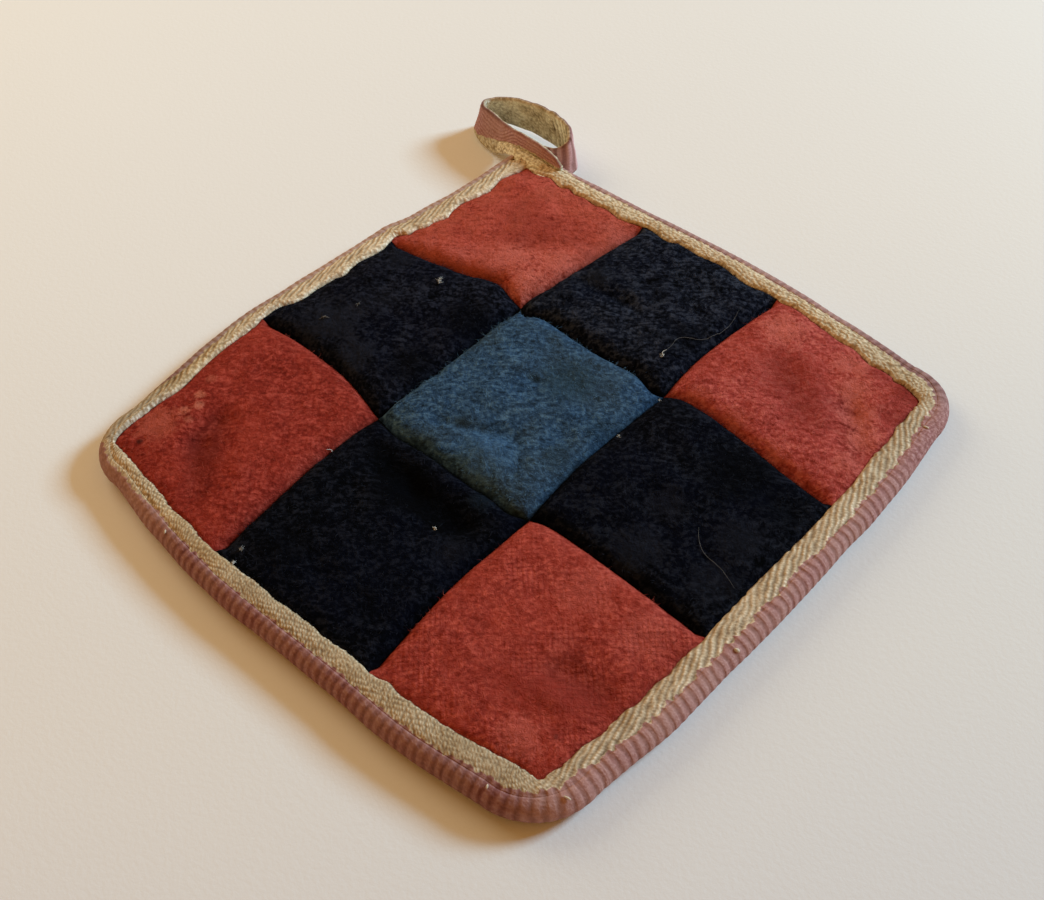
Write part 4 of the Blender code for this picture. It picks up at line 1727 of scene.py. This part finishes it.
@dataclass
class HangingLoop:
    """The tape's tail, stood on edge and led round from the rim's top to its side.

    Attributes:
        thickness: The folded tape's.
        width: The folded tape's.
        relief: Depth of its weave.
        step: Distance between stations.
        columns: Points up each face and over each edge.
        turned: How far each edge is rounded, as a share of half the thickness.
        wave: How the tape waves from side to side.
        root_columns: Points across the root.
        route: Middle of the tape seen from above, its lower and upper height, and its lean in degrees.
        tan_foot: Height up to which the outer wall shows the tan, by x.
        tape: The weave.
        root: The tan margin where it leaves the corner: its inner edge, then its outer edge.
    """

    thickness: float = 1.7
    width: float = 10.5
    relief: float = 0.32
    step: float = 0.3
    columns: tuple[int, int] = (30, 4)
    turned: float = 0.8
    wave: Layers = ((0.3, 6.0, 41), (0.12, 2.0, 42))
    root_columns: int = 20
    tan_foot: tuple[tuple[float, float], ...] = (
        (-97, 2.2), (-93, 3.2), (-89.8, 4.4), (-85, 5.8), (-81.2, 6.9), (-77.5, 7.8), (-74.7, 8.3), (-69, 8.0)
    )
    route: tuple[tuple[float, ...], ...] = (
        (-59.0, 79.4, 6.6, 9.0, 0.0),
        (-62.0, 79.5, 6.6, 10.9, 0.0),
        (-66.0, 79.6, 6.6, 12.1, 0.0),
        (-71.0, 79.7, 6.6, 12.4, 0.0),
        (-77.6, 79.8, 6.0, 12.4, -4.0),
        (-81.0, 80.0, 3.6, 12.4, -9.0),
        (-85.0, 80.0, 1.3, 12.4, -13.0),
        (-90.0, 80.8, 0.9, 12.2, -16.0),
        (-95.5, 82.6, 1.0, 11.6, -18.0),
        (-98.6, 85.6, 1.2, 11.0, -16.0),
        (-98.0, 89.2, 1.2, 10.8, -10.0),
        (-93.5, 92.0, 1.2, 11.2, -4.0),
        (-87.0, 93.2, 1.4, 12.2, 0.0),
        (-80.0, 93.7, 1.4, 12.8, 0.0),
        (-73.0, 93.2, 1.2, 13.0, 0.0),
        (-66.5, 91.4, 0.7, 13.0, -4.0),
        (-62.6, 88.0, 0.6, 12.4, -6.0),
        (-63.4, 85.2, 0.6, 10.5, -4.0),
        (-67.0, 84.0, 0.8, 8.6, 0.0),
        (-70.5, 83.9, 1.2, 7.8, 0.0),
    )
    tape: Tape = field(default_factory=Tape)
    root: tuple[tuple[float, ...], ...] = (
        (-61.5, 73.6, 6.0, -61.5, 79.0, 6.5),
        (-66.0, 74.0, 6.9, -66.0, 79.0, 7.35),
        (-70.0, 74.1, 6.9, -70.0, 79.1, 7.5),
        (-73.5, 74.6, 6.8, -74.0, 79.1, 7.7),
        (-76.5, 75.7, 6.3, -77.5, 79.0, 7.9),
        (-79.5, 76.7, 5.0, -80.3, 78.75, 7.7),
        (-82.5, 77.4, 3.2, -82.8, 78.5, 6.7),
        (-85.0, 77.8, 1.9, -85.2, 78.55, 5.6),
        (-87.5, 78.5, 1.8, -87.5, 78.9, 4.9),
    )

    def stations(self) -> Array:
        """Rows of x, y, lower height, upper height and lean, closely spaced along the loop."""
        rows = np.insert(bend_through(np.array(self.route)), 2, 0.0, axis=1)
        return np.delete(spaced_evenly(rows, self.step), 2, axis=1)

    def build(self, material: Material) -> Piece:
        """The loop as one closed strip with its weave in relief.

        Args:
            material: The tape's finish.

        Returns:
            The piece.
        """
        rows = self.stations()
        run = run_lengths(rows[:, :2])
        outward = leftward(unit(np.gradient(rows[:, :2], axis=0)))
        half = self.thickness / 2
        turned = half * self.turned
        face = np.linspace(0.0, 1.0, self.columns[0])[None, :]
        arc = np.linspace(0.0, math.pi, self.columns[1] + 2)[None, 1:-1]
        bottom, lean = rows[:, 2:3], rows[:, 4:5]
        top = rows[:, 3:4] + 0.22 * grain(run[:, None], 0.0, 2.4, 45) - 0.1
        outer_height = bottom + turned + (top - bottom - 2 * turned) * face
        upper_edge = top - turned + turned * np.sin(arc)
        lower_edge = bottom + turned - turned * np.sin(arc)
        heights = np.concatenate([outer_height, upper_edge, outer_height[:, ::-1], lower_edge], axis=1)
        flat_side = half + 0 * face
        aside = np.concatenate([flat_side, half * np.cos(arc), -flat_side, -half * np.cos(arc)], axis=1)
        aside = aside + np.zeros_like(heights)
        run_all = run[:, None] + 0 * heights
        across = heights - bottom

        # The stitches' height, on the tan inside and on the pink outside.
        pink = self.pinkness(rows, run_all, heights, aside)
        on_bend = ease(78.0, 84.0, run_all)
        inside = ease(0.2, -0.4, aside)
        tan = self.tape.twill(run_all, across, 0.3 * inside, 1 - 0.3 * inside)
        streaked = inside * ease(66.0, 73.0, run_all)
        tan = tan + 0.22 * streaked * np.sin(2 * np.pi * (run_all + 0.25 * across + 0.5 * inside) / 2.2)
        tan = np.clip(tan + 0.25 * inside * grain(run_all, across, 2.6, 46), 0.0, 1.0)
        cord = across - run_all * 0.10 + 0.2 * grain(run_all, across, 4.0, 44)
        fine = 0.5 + 0.5 * np.sin(2 * np.pi * cord / 1.1)
        fine = 0.25 + 0.3 * fine + 0.45 * self.tape.small.level(run_all, across)
        rose = on_bend * self.tape.ribs(run_all, across, on_bend) + (1 - on_bend) * fine
        stitch = tan * (1 - pink) + rose * pink

        relief = self.relief * (1 - stitch)
        aside = aside - np.sign(aside) * relief * (np.abs(aside) > half * 0.6)
        aside = aside + layered(run_all, across, self.wave)
        shift = aside + np.tan(np.radians(lean)) * (heights - (bottom + top) / 2)
        points = beside(rows[:, :2], outward, shift, heights)

        # Pale wear, tone, rust and faded pink.
        selvedge = ease(0.9, 0.2, top - heights)
        low = ease(0.75, 0.1, (heights - bottom) / (top - bottom))
        grey = ease(58.0, 45.0, run_all) * inside * ease(30.0, 36.0, run_all)
        worn = 0.42 - 0.1 * inside + selvedge * 0.2 * stitch + 0.5 * grey
        start = ease(30.0, 20.0, run_all)
        tone = 1.32 + (1 - inside) * pink * (0.5 * start + 0.28 * ease(70.0, 80.0, run_all) - 0.06)
        tone = tone + inside * (0.34 - 0.3 * low) - 0.7 * selvedge
        rust = (0.5 * pink * (1 - start) - 1) * (1 - selvedge)
        notes = {
            "weave": np.stack([pink, stitch, worn], axis=-1),
            "wear": np.stack([tone, rust, 0.08 + 0.1 * (1 - inside)], axis=-1),
        }
        piece = Draft().tube(points, notes).make("loop_tape", material)
        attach(piece, BODY)
        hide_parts("hanging_loop")
        return piece

    def pinkness(self, rows: Array, run: Array, heights: Array, aside: Array) -> Array:
        """Where the loop shows its pink.

        Args:
            rows: The loop's stations.
            run: Distance along the loop, at each mesh point.
            heights: Their height.
            aside: How far they lie to the left of the tape's middle.

        Returns:
            1 for pink and 0 for tan, at each mesh point.
        """
        x = rows[:, 0:1] + 0 * heights
        outer_wall = ease(-99.0, -96.0, x) * ease(40.0, 34.0, run)
        line = smooth_curve(*zip(*self.tan_foot), x) + 0.3 * grain(run, 0.0, 1.3, 43)
        line = line + 0.35 * np.abs(((run / self.tape.thread) % 1.0) - 0.5)
        tan_foot = ease(0.3, -0.3, heights - line)
        outside = ease(-0.4, 0.5, aside)
        return outside * (1 - tan_foot * (outer_wall > 0.02))

    def build_root(self, material: Material) -> Piece:
        """The tan margin's end, where it turns down off the corner on to the loop's wall.

        Args:
            material: The tape's finish.

        Returns:
            The piece.
        """
        rows = spaced_evenly(np.array(self.root), self.step)
        inner, outer = rows[:, :3], rows[:, 3:]
        run = run_lengths(inner)
        share = np.linspace(0.0, 1.0, self.root_columns)[None, :]
        across = np.linalg.norm(outer - inner, axis=1)[:, None] * (1 - share)
        run_all = run[:, None] + 0 * across
        skin = inner[:, None, :] * (1 - share[..., None]) + outer[:, None, :] * share[..., None]
        normal = unit(np.cross(unit(outer - inner), np.gradient(inner, axis=0)))
        normal = (normal * np.sign(normal[:, 2:3] - normal[:, 1:2]))[:, None, :]
        stitch = self.tape.twill(run_all, across, 0 * run_all, 1 + 0 * run_all)
        crown = 0.45 * np.sin(np.pi * share) * ease(run[-1], run[-1] - 6, run_all)
        skin = skin + normal * (crown - 0.34 * (1 - stitch))[..., None]
        fade = ease(run[-1] - 5.0, run[-1], run)[:, None, None]
        skin = skin - normal * 0.9 * fade
        points = np.concatenate([skin, skin[:, [-1, 0]] - normal * 0.8], axis=1)
        zero = np.zeros_like(across)
        notes = {
            "weave": np.stack([zero, stitch, zero + 0.55], axis=-1),
            "wear": np.stack([zero + 1.75, zero - 1, zero], axis=-1),
        }
        return tape_band("tape_root", points, carried(notes, (-1, 0)), material)


# ---- lint and stitches


@dataclass(frozen=True)
class Hair:
    """One loose hair or thread on the wool: its way in plan, its thickness and how light it is."""

    way: tuple[tuple[float, float], ...]
    width: float
    shade: float


@dataclass(frozen=True)
class Tuft:
    """A small tuft of lint: its place, how far it reaches, its fibres and how light it is."""

    place: tuple[float, float]
    reach: float
    fibres: int
    shade: float


@dataclass(frozen=True)
class Catch:
    """A pale stitch on the rim: its side, its place, where it starts and ends down the rim, its width."""

    side: str
    along: float
    low: float
    high: float
    width: float = 0.55


@dataclass
class Trimmings:
    """Lint and hairs on the wool, and the stitches that show on the tape.

    Attributes:
        lift: How far lint lies over the wool's mesh.
        hairs: The loose hairs and threads.
        tufts: The tufts of lint.
        catches: The stitches.
    """

    lift: float = 0.25
    hairs: tuple[Hair, ...] = (
        Hair(((54.7, -0.6), (57.2, -3.6), (60.3, -5.5), (65.5, -6.4), (70.8, -8.4)), 0.09, 0.10),
        Hair(((17.6, 63.9), (18.7, 57.4), (16.8, 49.4), (12.7, 45.3), (12.9, 41), (12.7, 38)), 0.09, 0.13),
        Hair(((12.9, 39.6), (12.5, 38.2), (13.6, 37.4), (13.0, 36.6)), 0.20, 0.75),
        Hair(((-28.7, -39.0), (-29.6, -38.2), (-30.2, -39.4)), 0.2, 0.8),
        Hair(((-64.6, -11.0), (-64.0, -9.5), (-62.6, -8.9)), 0.11, 0.25),
        Hair(((75.2, -33.8), (76.6, -33.0), (78.4, -32.6)), 0.26, 0.95),
    )
    tufts: tuple[Tuft, ...] = (
        Tuft((-50.9, 20.6), 1.1, 16, 0.75),
        Tuft((-50.0, 19.9), 0.8, 9, 0.6),
        Tuft((-64.0, -9.5), 1.0, 7, 0.22),
        Tuft((-60.6, -0.6), 0.8, 6, 0.2),
        Tuft((8.4, -39.7), 0.6, 16, 0.95),
        Tuft((13.0, 37.6), 0.6, 8, 0.8),
        Tuft((-21.0, -73.4), 0.7, 16, 0.4),
        Tuft((-19.8, -77.0), 0.6, 20, 0.9),
        Tuft((21.0, 27.0), 0.5, 8, 0.75),
        Tuft((22.1, 9.8), 0.5, 8, 0.75),
    )
    catches: tuple[Catch, ...] = (
        Catch("right", -70.0, 0.0, 0.45),
        Catch("right", -20.3, 0.45, 0.8, 0.95),
        Catch("right", 60.0, 0.0, 0.4),
        Catch("near", -39.0, 0.3, 0.55),
        Catch("near", 63.0, 0.1, 0.35),
    )

    def thread(self, draft: Draft, way: Array, width: float, shade: float) -> None:
        """Adds a thread along a way, with tapered ends.

        Args:
            draft: Where it is added.
            way: The points it passes.
            width: How thick it is.
            shade: How light it is.
        """
        middle = spaced_evenly(way, 0.25)
        ahead = unit(np.gradient(middle, axis=0))
        side = unit(np.cross(ahead, UPRIGHT))
        other = np.cross(side, ahead)
        share = np.pi * (0.03 + 0.94 * np.linspace(0.0, 1.0, len(middle)))
        radius = (width / 2 * np.sqrt(np.clip(np.sin(share), 0.02, 1)))[:, None, None]
        angle = (np.arange(6) * math.pi / 3)[None, :, None]
        ring = side[:, None, :] * np.cos(angle) + other[:, None, :] * np.sin(angle)
        points = middle[:, None, :] + ring * radius
        draft.tube(points, {"shade": np.full(points.shape[:2], shade)})

    def build_lint(self, top: QuiltTop, material: Material) -> Piece:
        """The hairs and tufts as one piece.

        Args:
            top: The quilted top they lie on.
            material: Their finish.

        Returns:
            The piece.
        """
        draft = Draft()
        draw = np.random.default_rng(77)
        for hair in self.hairs:
            places = spaced_evenly(bend_through(np.array(hair.way)), 0.6)
            lift = [top.level(place) + self.lift for place in places]
            self.thread(draft, np.column_stack([places, lift]), hair.width, hair.shade)
        for tuft in self.tufts:
            root = np.array([*tuft.place, top.level(tuft.place) + self.lift])
            count = tuft.fibres
            turn = draw.uniform(0, 2 * np.pi, count)
            ways = unit(heading(turn, draw.uniform(-0.1, 0.5, count)))
            bends = curled(draw, turn, (0.6, 1.6), (-0.2, 0.2))
            roots = root + draw.normal(0, 0.16, (count, 3)) * (1, 1, 0.5)
            lengths = tuft.reach * draw.uniform(0.5, 1.1, count)
            strands(draft, roots, ways, bends, lengths, np.full(count, 0.16), np.full(count, tuft.shade))
        piece = draft.make("lint", material)
        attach(piece, BODY)
        return piece

    def build_catches(self, material: Material, rim: float) -> Piece:
        """The pale stitches on the rim as one piece.

        Args:
            material: Their finish.
            rim: Half the height of the bound edge.

        Returns:
            The piece.
        """
        draft = Draft()
        radius = rim - 0.1
        for catch in self.catches:
            angle = np.linspace(catch.low, catch.high, 6)
            out = float(PLAN.edge(catch.side, np.array(catch.along))) - rim + radius * np.sin(angle)
            along = catch.along + 0.25 * np.linspace(-1, 1, 6)
            flat = {"right": (out, along), "near": (along, -out)}[catch.side]
            self.thread(draft, np.column_stack([*flat, rim + radius * np.cos(angle)]), catch.width, 0.7)
        piece = draft.make("tape_stitches", material)
        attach(piece, BODY)
        return piece


# ---- the back cloth


@dataclass
class Back:
    """The plain cloth of the underside, flat where it rests and drawn up a little at the seams.

    Attributes:
        cells: Mesh cells across one patch.
        reach_in: How far its edge lies in from the finished edge.
        thickness: Its own, without the wool that it lines.
    """

    cells: int = 30
    reach_in: float = 5.9
    thickness: float = 1.2

    def build(self, material: Material) -> Piece:
        """The cloth as one closed sheet.

        Args:
            material: Its finish.

        Returns:
            The piece.
        """
        columns, rows = np.meshgrid(*2 * [np.linspace(0.0, 3.0, 3 * self.cells + 1)])
        x, y = PLAN.square_point(columns, rows, even_inset(self.reach_in))
        channel = np.max([bell(away, 1.6) for away in PLAN.past_seams(x, y).values()], axis=0)
        edge = from_outside(columns, rows) * 25.0
        z = 0.45 * channel + (self.thickness + 0.1) * ease(2.2, 0.8, edge)
        lower = np.stack([x, y, z], axis=-1)
        rim = border(lower)
        rim[:, 2] = self.thickness + 0.2
        draft = Draft()
        ring = border(draft.grid(lower))
        upper = draft.add_points(rim)
        draft.wall(ring, upper)
        draft.add_faces(upper[None])
        piece = draft.make("back_cloth", material)
        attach(piece, BODY)
        size = float(x.max() - x.min()) * MM
        return piece


# ---- the studio


@dataclass(frozen=True)
class Lamp:
    """A soft square light that faces the pot holder: its name, place, width, watts and colour."""

    name: str
    place: tuple[float, float, float]
    size: float
    power: float
    colour: Colour

    def build(self) -> Piece:
        """Writes the light.

        Returns:
            The light.
        """
        data = bpy.data.lights.new(self.name, "AREA")
        data.size, data.energy, data.color = self.size * MM, self.power, self.colour
        light = bpy.data.objects.new(self.name, data)
        light.location = Vector(self.place) * MM
        light.rotation_mode = "QUATERNION"
        light.rotation_quaternion = (-Vector(self.place)).to_track_quat("-Z", "Y")
        bpy.context.scene.collection.objects.link(light)
        return light


@dataclass
class Studio:
    """The table, the lights and the camera.

    Attributes:
        target: The point the camera looks at.
        distance: How far away it is.
        azimuth: Its bearing, in degrees; 0 looks along +Y and 90 along -X.
        elevation: Its height over the table, in degrees.
        roll: How far it is turned about its line of sight, in degrees.
        lens: Its focal length.
        sensor: The width of its sensor.
        lamps: A cool window light from the right and a warm room light from the left.
        sky: Colour of the soft light from all round.
        sky_strength: How strong that is.
        table: Width of the table top, in metres.
    """

    target: tuple[float, float, float] = (7.41, -9.0, 7.2)
    distance: float = 329.6
    azimuth: float = 46.125
    elevation: float = 48.4
    roll: float = -4.151
    lens: float = 46.98
    sensor: float = 36.0
    lamps: tuple[Lamp, ...] = (
        Lamp("window_light", (500.0, 1066.0, 654.0), 360.0, 20.6, (0.51, 0.805, 1.0)),
        Lamp("room_light", (-900.0, 60.0, 560.0), 620.0, 3.6, (1.0, 0.93, 0.68)),
    )
    sky: Colour = (1.0, 0.51, 0.145)
    sky_strength: float = 0.41
    table: float = 4.0

    def build_camera(self) -> Piece:
        """The camera, as the scene's own.

        Returns:
            The camera.
        """
        turn, rise, roll = (math.radians(angle) for angle in (self.azimuth, self.elevation, self.roll))
        back = Vector((math.sin(turn) * math.cos(rise), -math.cos(turn) * math.cos(rise), math.sin(rise)))
        right = (-back).cross(Vector((0, 0, 1))).normalized()
        up = right.cross(-back)
        level = right * math.cos(roll) + up * math.sin(roll)
        plumb = up * math.cos(roll) - right * math.sin(roll)
        data = bpy.data.cameras.new("camera")
        data.sensor_width = self.sensor
        data.lens = self.lens
        data.clip_start = 0.01
        camera = bpy.data.objects.new("camera", data)
        place = (Vector(self.target) + back * self.distance) * MM
        camera.matrix_world = Matrix.Translation(place) @ Matrix((level, plumb, back)).transposed().to_4x4()
        bpy.context.scene.collection.objects.link(camera)
        bpy.context.scene.camera = camera
        return camera

    def build_lights(self) -> None:
        """The lamps and the sky."""
        for lamp in self.lamps:
            lamp.build()
        world = bpy.data.worlds.new("soft_sky")
        world.use_nodes = True
        sky = world.node_tree.nodes["Background"]
        sky.inputs["Color"].default_value = (*self.sky, 1.0)
        sky.inputs["Strength"].default_value = self.sky_strength
        bpy.context.scene.world = world
        bpy.context.scene.view_settings.view_transform = "Standard"

    def build_table(self, material: Material) -> Piece:
        """The table top.

        Args:
            material: Its paint.

        Returns:
            The table top.
        """
        bpy.ops.object.select_all(action="DESELECT")
        bpy.ops.mesh.primitive_plane_add(size=self.table, location=(0.0, 0.0, 0.0))
        table = bpy.context.active_object
        table.name = "table"
        table.data.materials.append(material)
        return table


# ---- the whole


RED = Wool(
    name="wool_red",
    deep=(0.190, 0.0190, 0.0120),
    body=(0.345, 0.0400, 0.0265),
    tip=(0.54, 0.098, 0.068),
    cast=(0.40, 0.052, 0.030),
    weave=0.18,
    contrast=0.92,
    painted_trough_shade=0.7,
)
NAVY = Wool(
    name="wool_navy",
    deep=(0.0005, 0.0007, 0.0014),
    body=(0.0016, 0.0021, 0.0044),
    tip=(0.0105, 0.0125, 0.0190),
    cast=(0.0008, 0.0018, 0.0090),
    weave=0.1,
    contrast=1.35,
    painted_trough_shade=0.9,
)
BLUE = Wool(
    name="wool_blue",
    deep=(0.009, 0.018, 0.032),
    body=(0.028, 0.063, 0.124),
    tip=(0.082, 0.158, 0.250),
    cast=(0.034, 0.050, 0.060),
    cast_share=0.55,
    weave=0.1,
    contrast=1.0,
    painted_trough_shade=0.7,
)


def marks(*rows: tuple) -> tuple[Spot, ...]:
    """Spots, from rows of x, y, z, radius, colour and strength."""
    return tuple(Spot((x, y, z), *rest) for x, y, z, *rest in rows)


def wool_finishes() -> dict[PatchWool, Wool]:
    """The wool of each patch, with its own wear and stains and its painted shade and highlights.

    Returns:
        The finishes, by patch.
    """
    # Of these, worn and dark are real wear and stains; the third is a painted highlight on the red's seam
    # edges and ridges.
    worn, dark, painted_highlight = (0.62, 0.20, 0.13), (0.030, 0.008, 0.006), (0.50, 0.11, 0.082)
    # Painted shade for the red's folds and under the tape, then a painted highlight on its ridges.
    painted_shade, painted_light = (0.200, 0.0215, 0.0150), (0.62, 0.155, 0.115)
    # Painted shade on the navy in hollows and beside its seams, then a lighter navy for parts of the navy
    # patches.
    painted_navy_shade, lighter_navy = (0.0007, 0.0009, 0.0018), (0.0130, 0.0142, 0.0215)
    wools = {
        PatchWool.RED_NEAR_LEFT: replace(
            RED,
            deep=(0.140, 0.0120, 0.0080),
            body=(0.265, 0.0290, 0.0190),
            tip=(0.46, 0.075, 0.052),
            spots=marks(
                (-67.5, -49, 8, 2, worn, 0.6), (-64.5, -51.5, 8, 1.7, worn, 0.6),
                (-66, -55, 8, 2.2, worn, 0.5), (-62.5, -56.5, 8, 1.8, worn, 0.3),
                (-70.5, -43.5, 8, 2.4, worn, 0.25), (-68, -62, 8, 8, (0.45, 0.100, 0.064), 0.65),
                (-66.6, -68.8, 7.3, 1.3, dark, 0.8), (-52, -61, 8.5, 7, (0.15, 0.018, 0.012), 0.4),
            ),
        ),
        PatchWool.NAVY_NEAR: replace(
            NAVY,
            body=(0.0015, 0.0020, 0.0042),
            tip=(0.0115, 0.0130, 0.0205),
            spots=marks(
                (-6, -36, 8, 9, painted_navy_shade, 0.9), (-20, -32, 8, 5, painted_navy_shade, 0.7),
                (11, -26.5, 7, 5, (0.008, 0.013, 0.020), 0.6), (-14, -67, 8, 8, painted_navy_shade, 0.6),
                (12, -66, 8, 6, painted_navy_shade, 0.4), (16, -42, 8, 7, lighter_navy, 0.35),
            ),
        ),
        PatchWool.RED_NEAR_RIGHT: replace(
            RED,
            body=(0.318, 0.0430, 0.0312),
            weave=0.42,
            spots=marks(
                (65.8, -61.4, 8, 1.3, dark, 0.8), (47, -59, 8.5, 6, painted_shade, 0.35),
                (53, -57, 8.5, 6.5, painted_shade, 0.45), (59.5, -54.5, 8.5, 7, painted_shade, 0.5),
                (65.5, -51.5, 8.5, 7, painted_shade, 0.5), (70.5, -47, 8.5, 6, painted_shade, 0.4),
                (47, -31, 8.3, 10, painted_highlight, 0.3), (64, -31, 8.3, 9, painted_highlight, 0.35), (61, -67, 8, 7, painted_light, 0.3),
            ),
        ),
        PatchWool.NAVY_LEFT: replace(
            NAVY,
            body=(0.0036, 0.0041, 0.0080),
            tip=(0.0215, 0.0235, 0.0370),
            spots=marks(
                (-34, -6, 8.3, 8, painted_navy_shade, 0.75), (-34, 15, 8.3, 9, painted_navy_shade, 0.75),
                (-62, -9, 8.3, 12, lighter_navy, 0.7), (-48, -13, 8.3, 8, lighter_navy, 0.65), (-67, 21, 8, 7, lighter_navy, 0.5),
                (-58, 5, 8.3, 9, lighter_navy, 0.3),
            ),
        ),
        PatchWool.BLUE_CENTRE: replace(
            BLUE,
            # Darker blue towards the top and right and small dark marks at the dimples; the last spot is a
            # painted highlight on the lower band.
            spots=marks(
                (1, 15, 8.3, 9.5, (0.017, 0.036, 0.050), 0.55), (18, 8, 8.3, 6, (0.018, 0.034, 0.046), 0.4),
                (15, -5, 8.3, 4.8, (0.016, 0.026, 0.032), 0.55),
                (-10, -12, 8.3, 2.6, (0.014, 0.022, 0.028), 0.6),
                (-5.6, 10.2, 8.3, 1.8, (0.010, 0.016, 0.018), 0.75),
                (1, -16, 8.6, 11.5, (0.060, 0.135, 0.255), 0.3),
            ),
        ),
        PatchWool.NAVY_RIGHT: replace(
            NAVY,
            body=(0.0021, 0.0025, 0.0050),
            tip=(0.0140, 0.0160, 0.0240),
            spots=marks(
                (52, 18, 8.3, 11, painted_navy_shade, 0.75), (66, 16, 8.3, 7, painted_navy_shade, 0.6), (48, -14, 8.3, 10, lighter_navy, 0.5),
                (66, -10, 8.3, 9, lighter_navy, 0.4), (64, 3, 8.3, 9, lighter_navy, 0.45), (45, 0, 8.3, 7, lighter_navy, 0.4),
            ),
        ),
        PatchWool.RED_FAR_LEFT: replace(
            RED,
            body=(0.42, 0.0690, 0.0455),
            cast=(0.50, 0.105, 0.062),
            cast_share=0.6,
            spots=marks(
                (-51, 36.5, 8.5, 6, painted_highlight, 0.5), (-42, 41, 8.5, 8, painted_light, 0.6), (-32, 36, 8.5, 8, painted_light, 0.9),
                (-31, 47, 8.5, 8, painted_light, 0.6), (-29, 57, 8.5, 5, painted_highlight, 0.5), (-29, 68, 8.5, 7, painted_highlight, 0.5),
                (-46, 51.5, 8.8, 9, painted_shade, 0.3), (-54, 57, 8.8, 8, painted_shade, 0.28),
                (-39, 59, 8.8, 8, painted_shade, 0.2), (-65, 28, 7.5, 6, painted_highlight, 0.6), (-55, 31, 7.5, 6, painted_highlight, 0.6),
                (-44, 35, 7.5, 6, painted_highlight, 0.6),
            ),
        ),
        PatchWool.NAVY_FAR: replace(
            NAVY,
            body=(0.0058, 0.0074, 0.0142),
            tip=(0.0345, 0.0390, 0.0565),
            spots=marks(
                (14, 47, 8.5, 7, painted_navy_shade, 0.6), (-2, 54, 8.5, 5, painted_navy_shade, 0.3),
                (-19, 50, 8.5, 6, (0.020, 0.021, 0.027), 0.4),
            ),
        ),
        PatchWool.RED_FAR_RIGHT: replace(
            RED,
            body=(0.392, 0.0600, 0.0490),
            tip=(0.61, 0.140, 0.112),
            spots=marks(
                (31, 66, 8.5, 9, painted_light, 0.6), (69, 38, 8.3, 5.5, painted_light, 0.4), (38, 55, 8.8, 9, painted_shade, 0.3),
                (45, 50.5, 8.8, 11, painted_shade, 0.38), (54, 45, 8.8, 9, painted_shade, 0.4),
                (51, 66, 8.8, 6.5, painted_light, 0.5), (56.5, 59.5, 8.8, 6.5, painted_light, 0.6), (62, 53, 8.8, 6.5, painted_light, 0.6),
                (67.5, 46.5, 8.8, 6.5, painted_light, 0.6), (68.5, 59, 8.3, 6.5, painted_shade, 0.45),
                (67.5, 69, 7.8, 7, painted_shade, 0.95), (58, 69, 7.8, 5, painted_shade, 0.5),
                (28, 33, 7.5, 5, painted_highlight, 0.45), (40, 32, 7.5, 5, painted_highlight, 0.45), (54, 30, 7.5, 5, painted_highlight, 0.45),
            ),
        ),
    }
    return {patch: replace(wool, name=f"wool_{patch.name.lower()}") for patch, wool in wools.items()}


def report(*pieces: Piece) -> None:
    """Logs some pieces and how many points each has."""
    for piece in pieces:
        log.info("%s: %d points", piece.name, len(piece.data.vertices))


def main() -> None:
    """Builds the pot holder and its studio."""
    logging.basicConfig(level=logging.INFO, format="%(message)s")
    studio = Studio()
    studio.build_camera()
    studio.build_lights()
    report(studio.build_table(TableTop().make()))

    top = QuiltTop()
    finishes = wool_finishes()
    patches = {patch: top.build_patch(patch, finishes[patch].make()) for patch in PatchWool}
    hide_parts("pad")
    report(*patches.values(), Back().build(BackCloth().make()))

    nap = Nap()
    groups = (
        ("nap_red", "RED", Fibre("fibre_red", (0.19, 0.018, 0.012), (0.62, 0.13, 0.085)), 100),
        ("nap_navy", "NAVY", Fibre("fibre_navy", (0.002, 0.0025, 0.005), (0.035, 0.04, 0.058)), 200),
        ("nap_blue", "BLUE", Fibre("fibre_blue", (0.022, 0.040, 0.060), (0.17, 0.30, 0.42)), 300),
    )
    for name, colour, fibre, seed in groups:
        chosen = [patch for patch in PatchWool if patch.name.startswith(colour)]
        report(nap.build(top, name, chosen, fibre.make(), seed))

    tape_cloth = Tape().make()
    loop, binding = HangingLoop(), Binding()
    report(loop.build(tape_cloth))
    report(*binding.build(tape_cloth, [loop.build_root(tape_cloth)]))

    trimmings = Trimmings()
    pale = Fibre("fibre_lint", (0.05, 0.05, 0.05), (0.80, 0.77, 0.72))
    cream = Fibre("fibre_cream", (0.30, 0.22, 0.15), (0.82, 0.70, 0.56))
    report(trimmings.build_lint(top, pale.make()), trimmings.build_catches(cream.make(), binding.rim))

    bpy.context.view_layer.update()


if __name__ == "__main__":
    main()
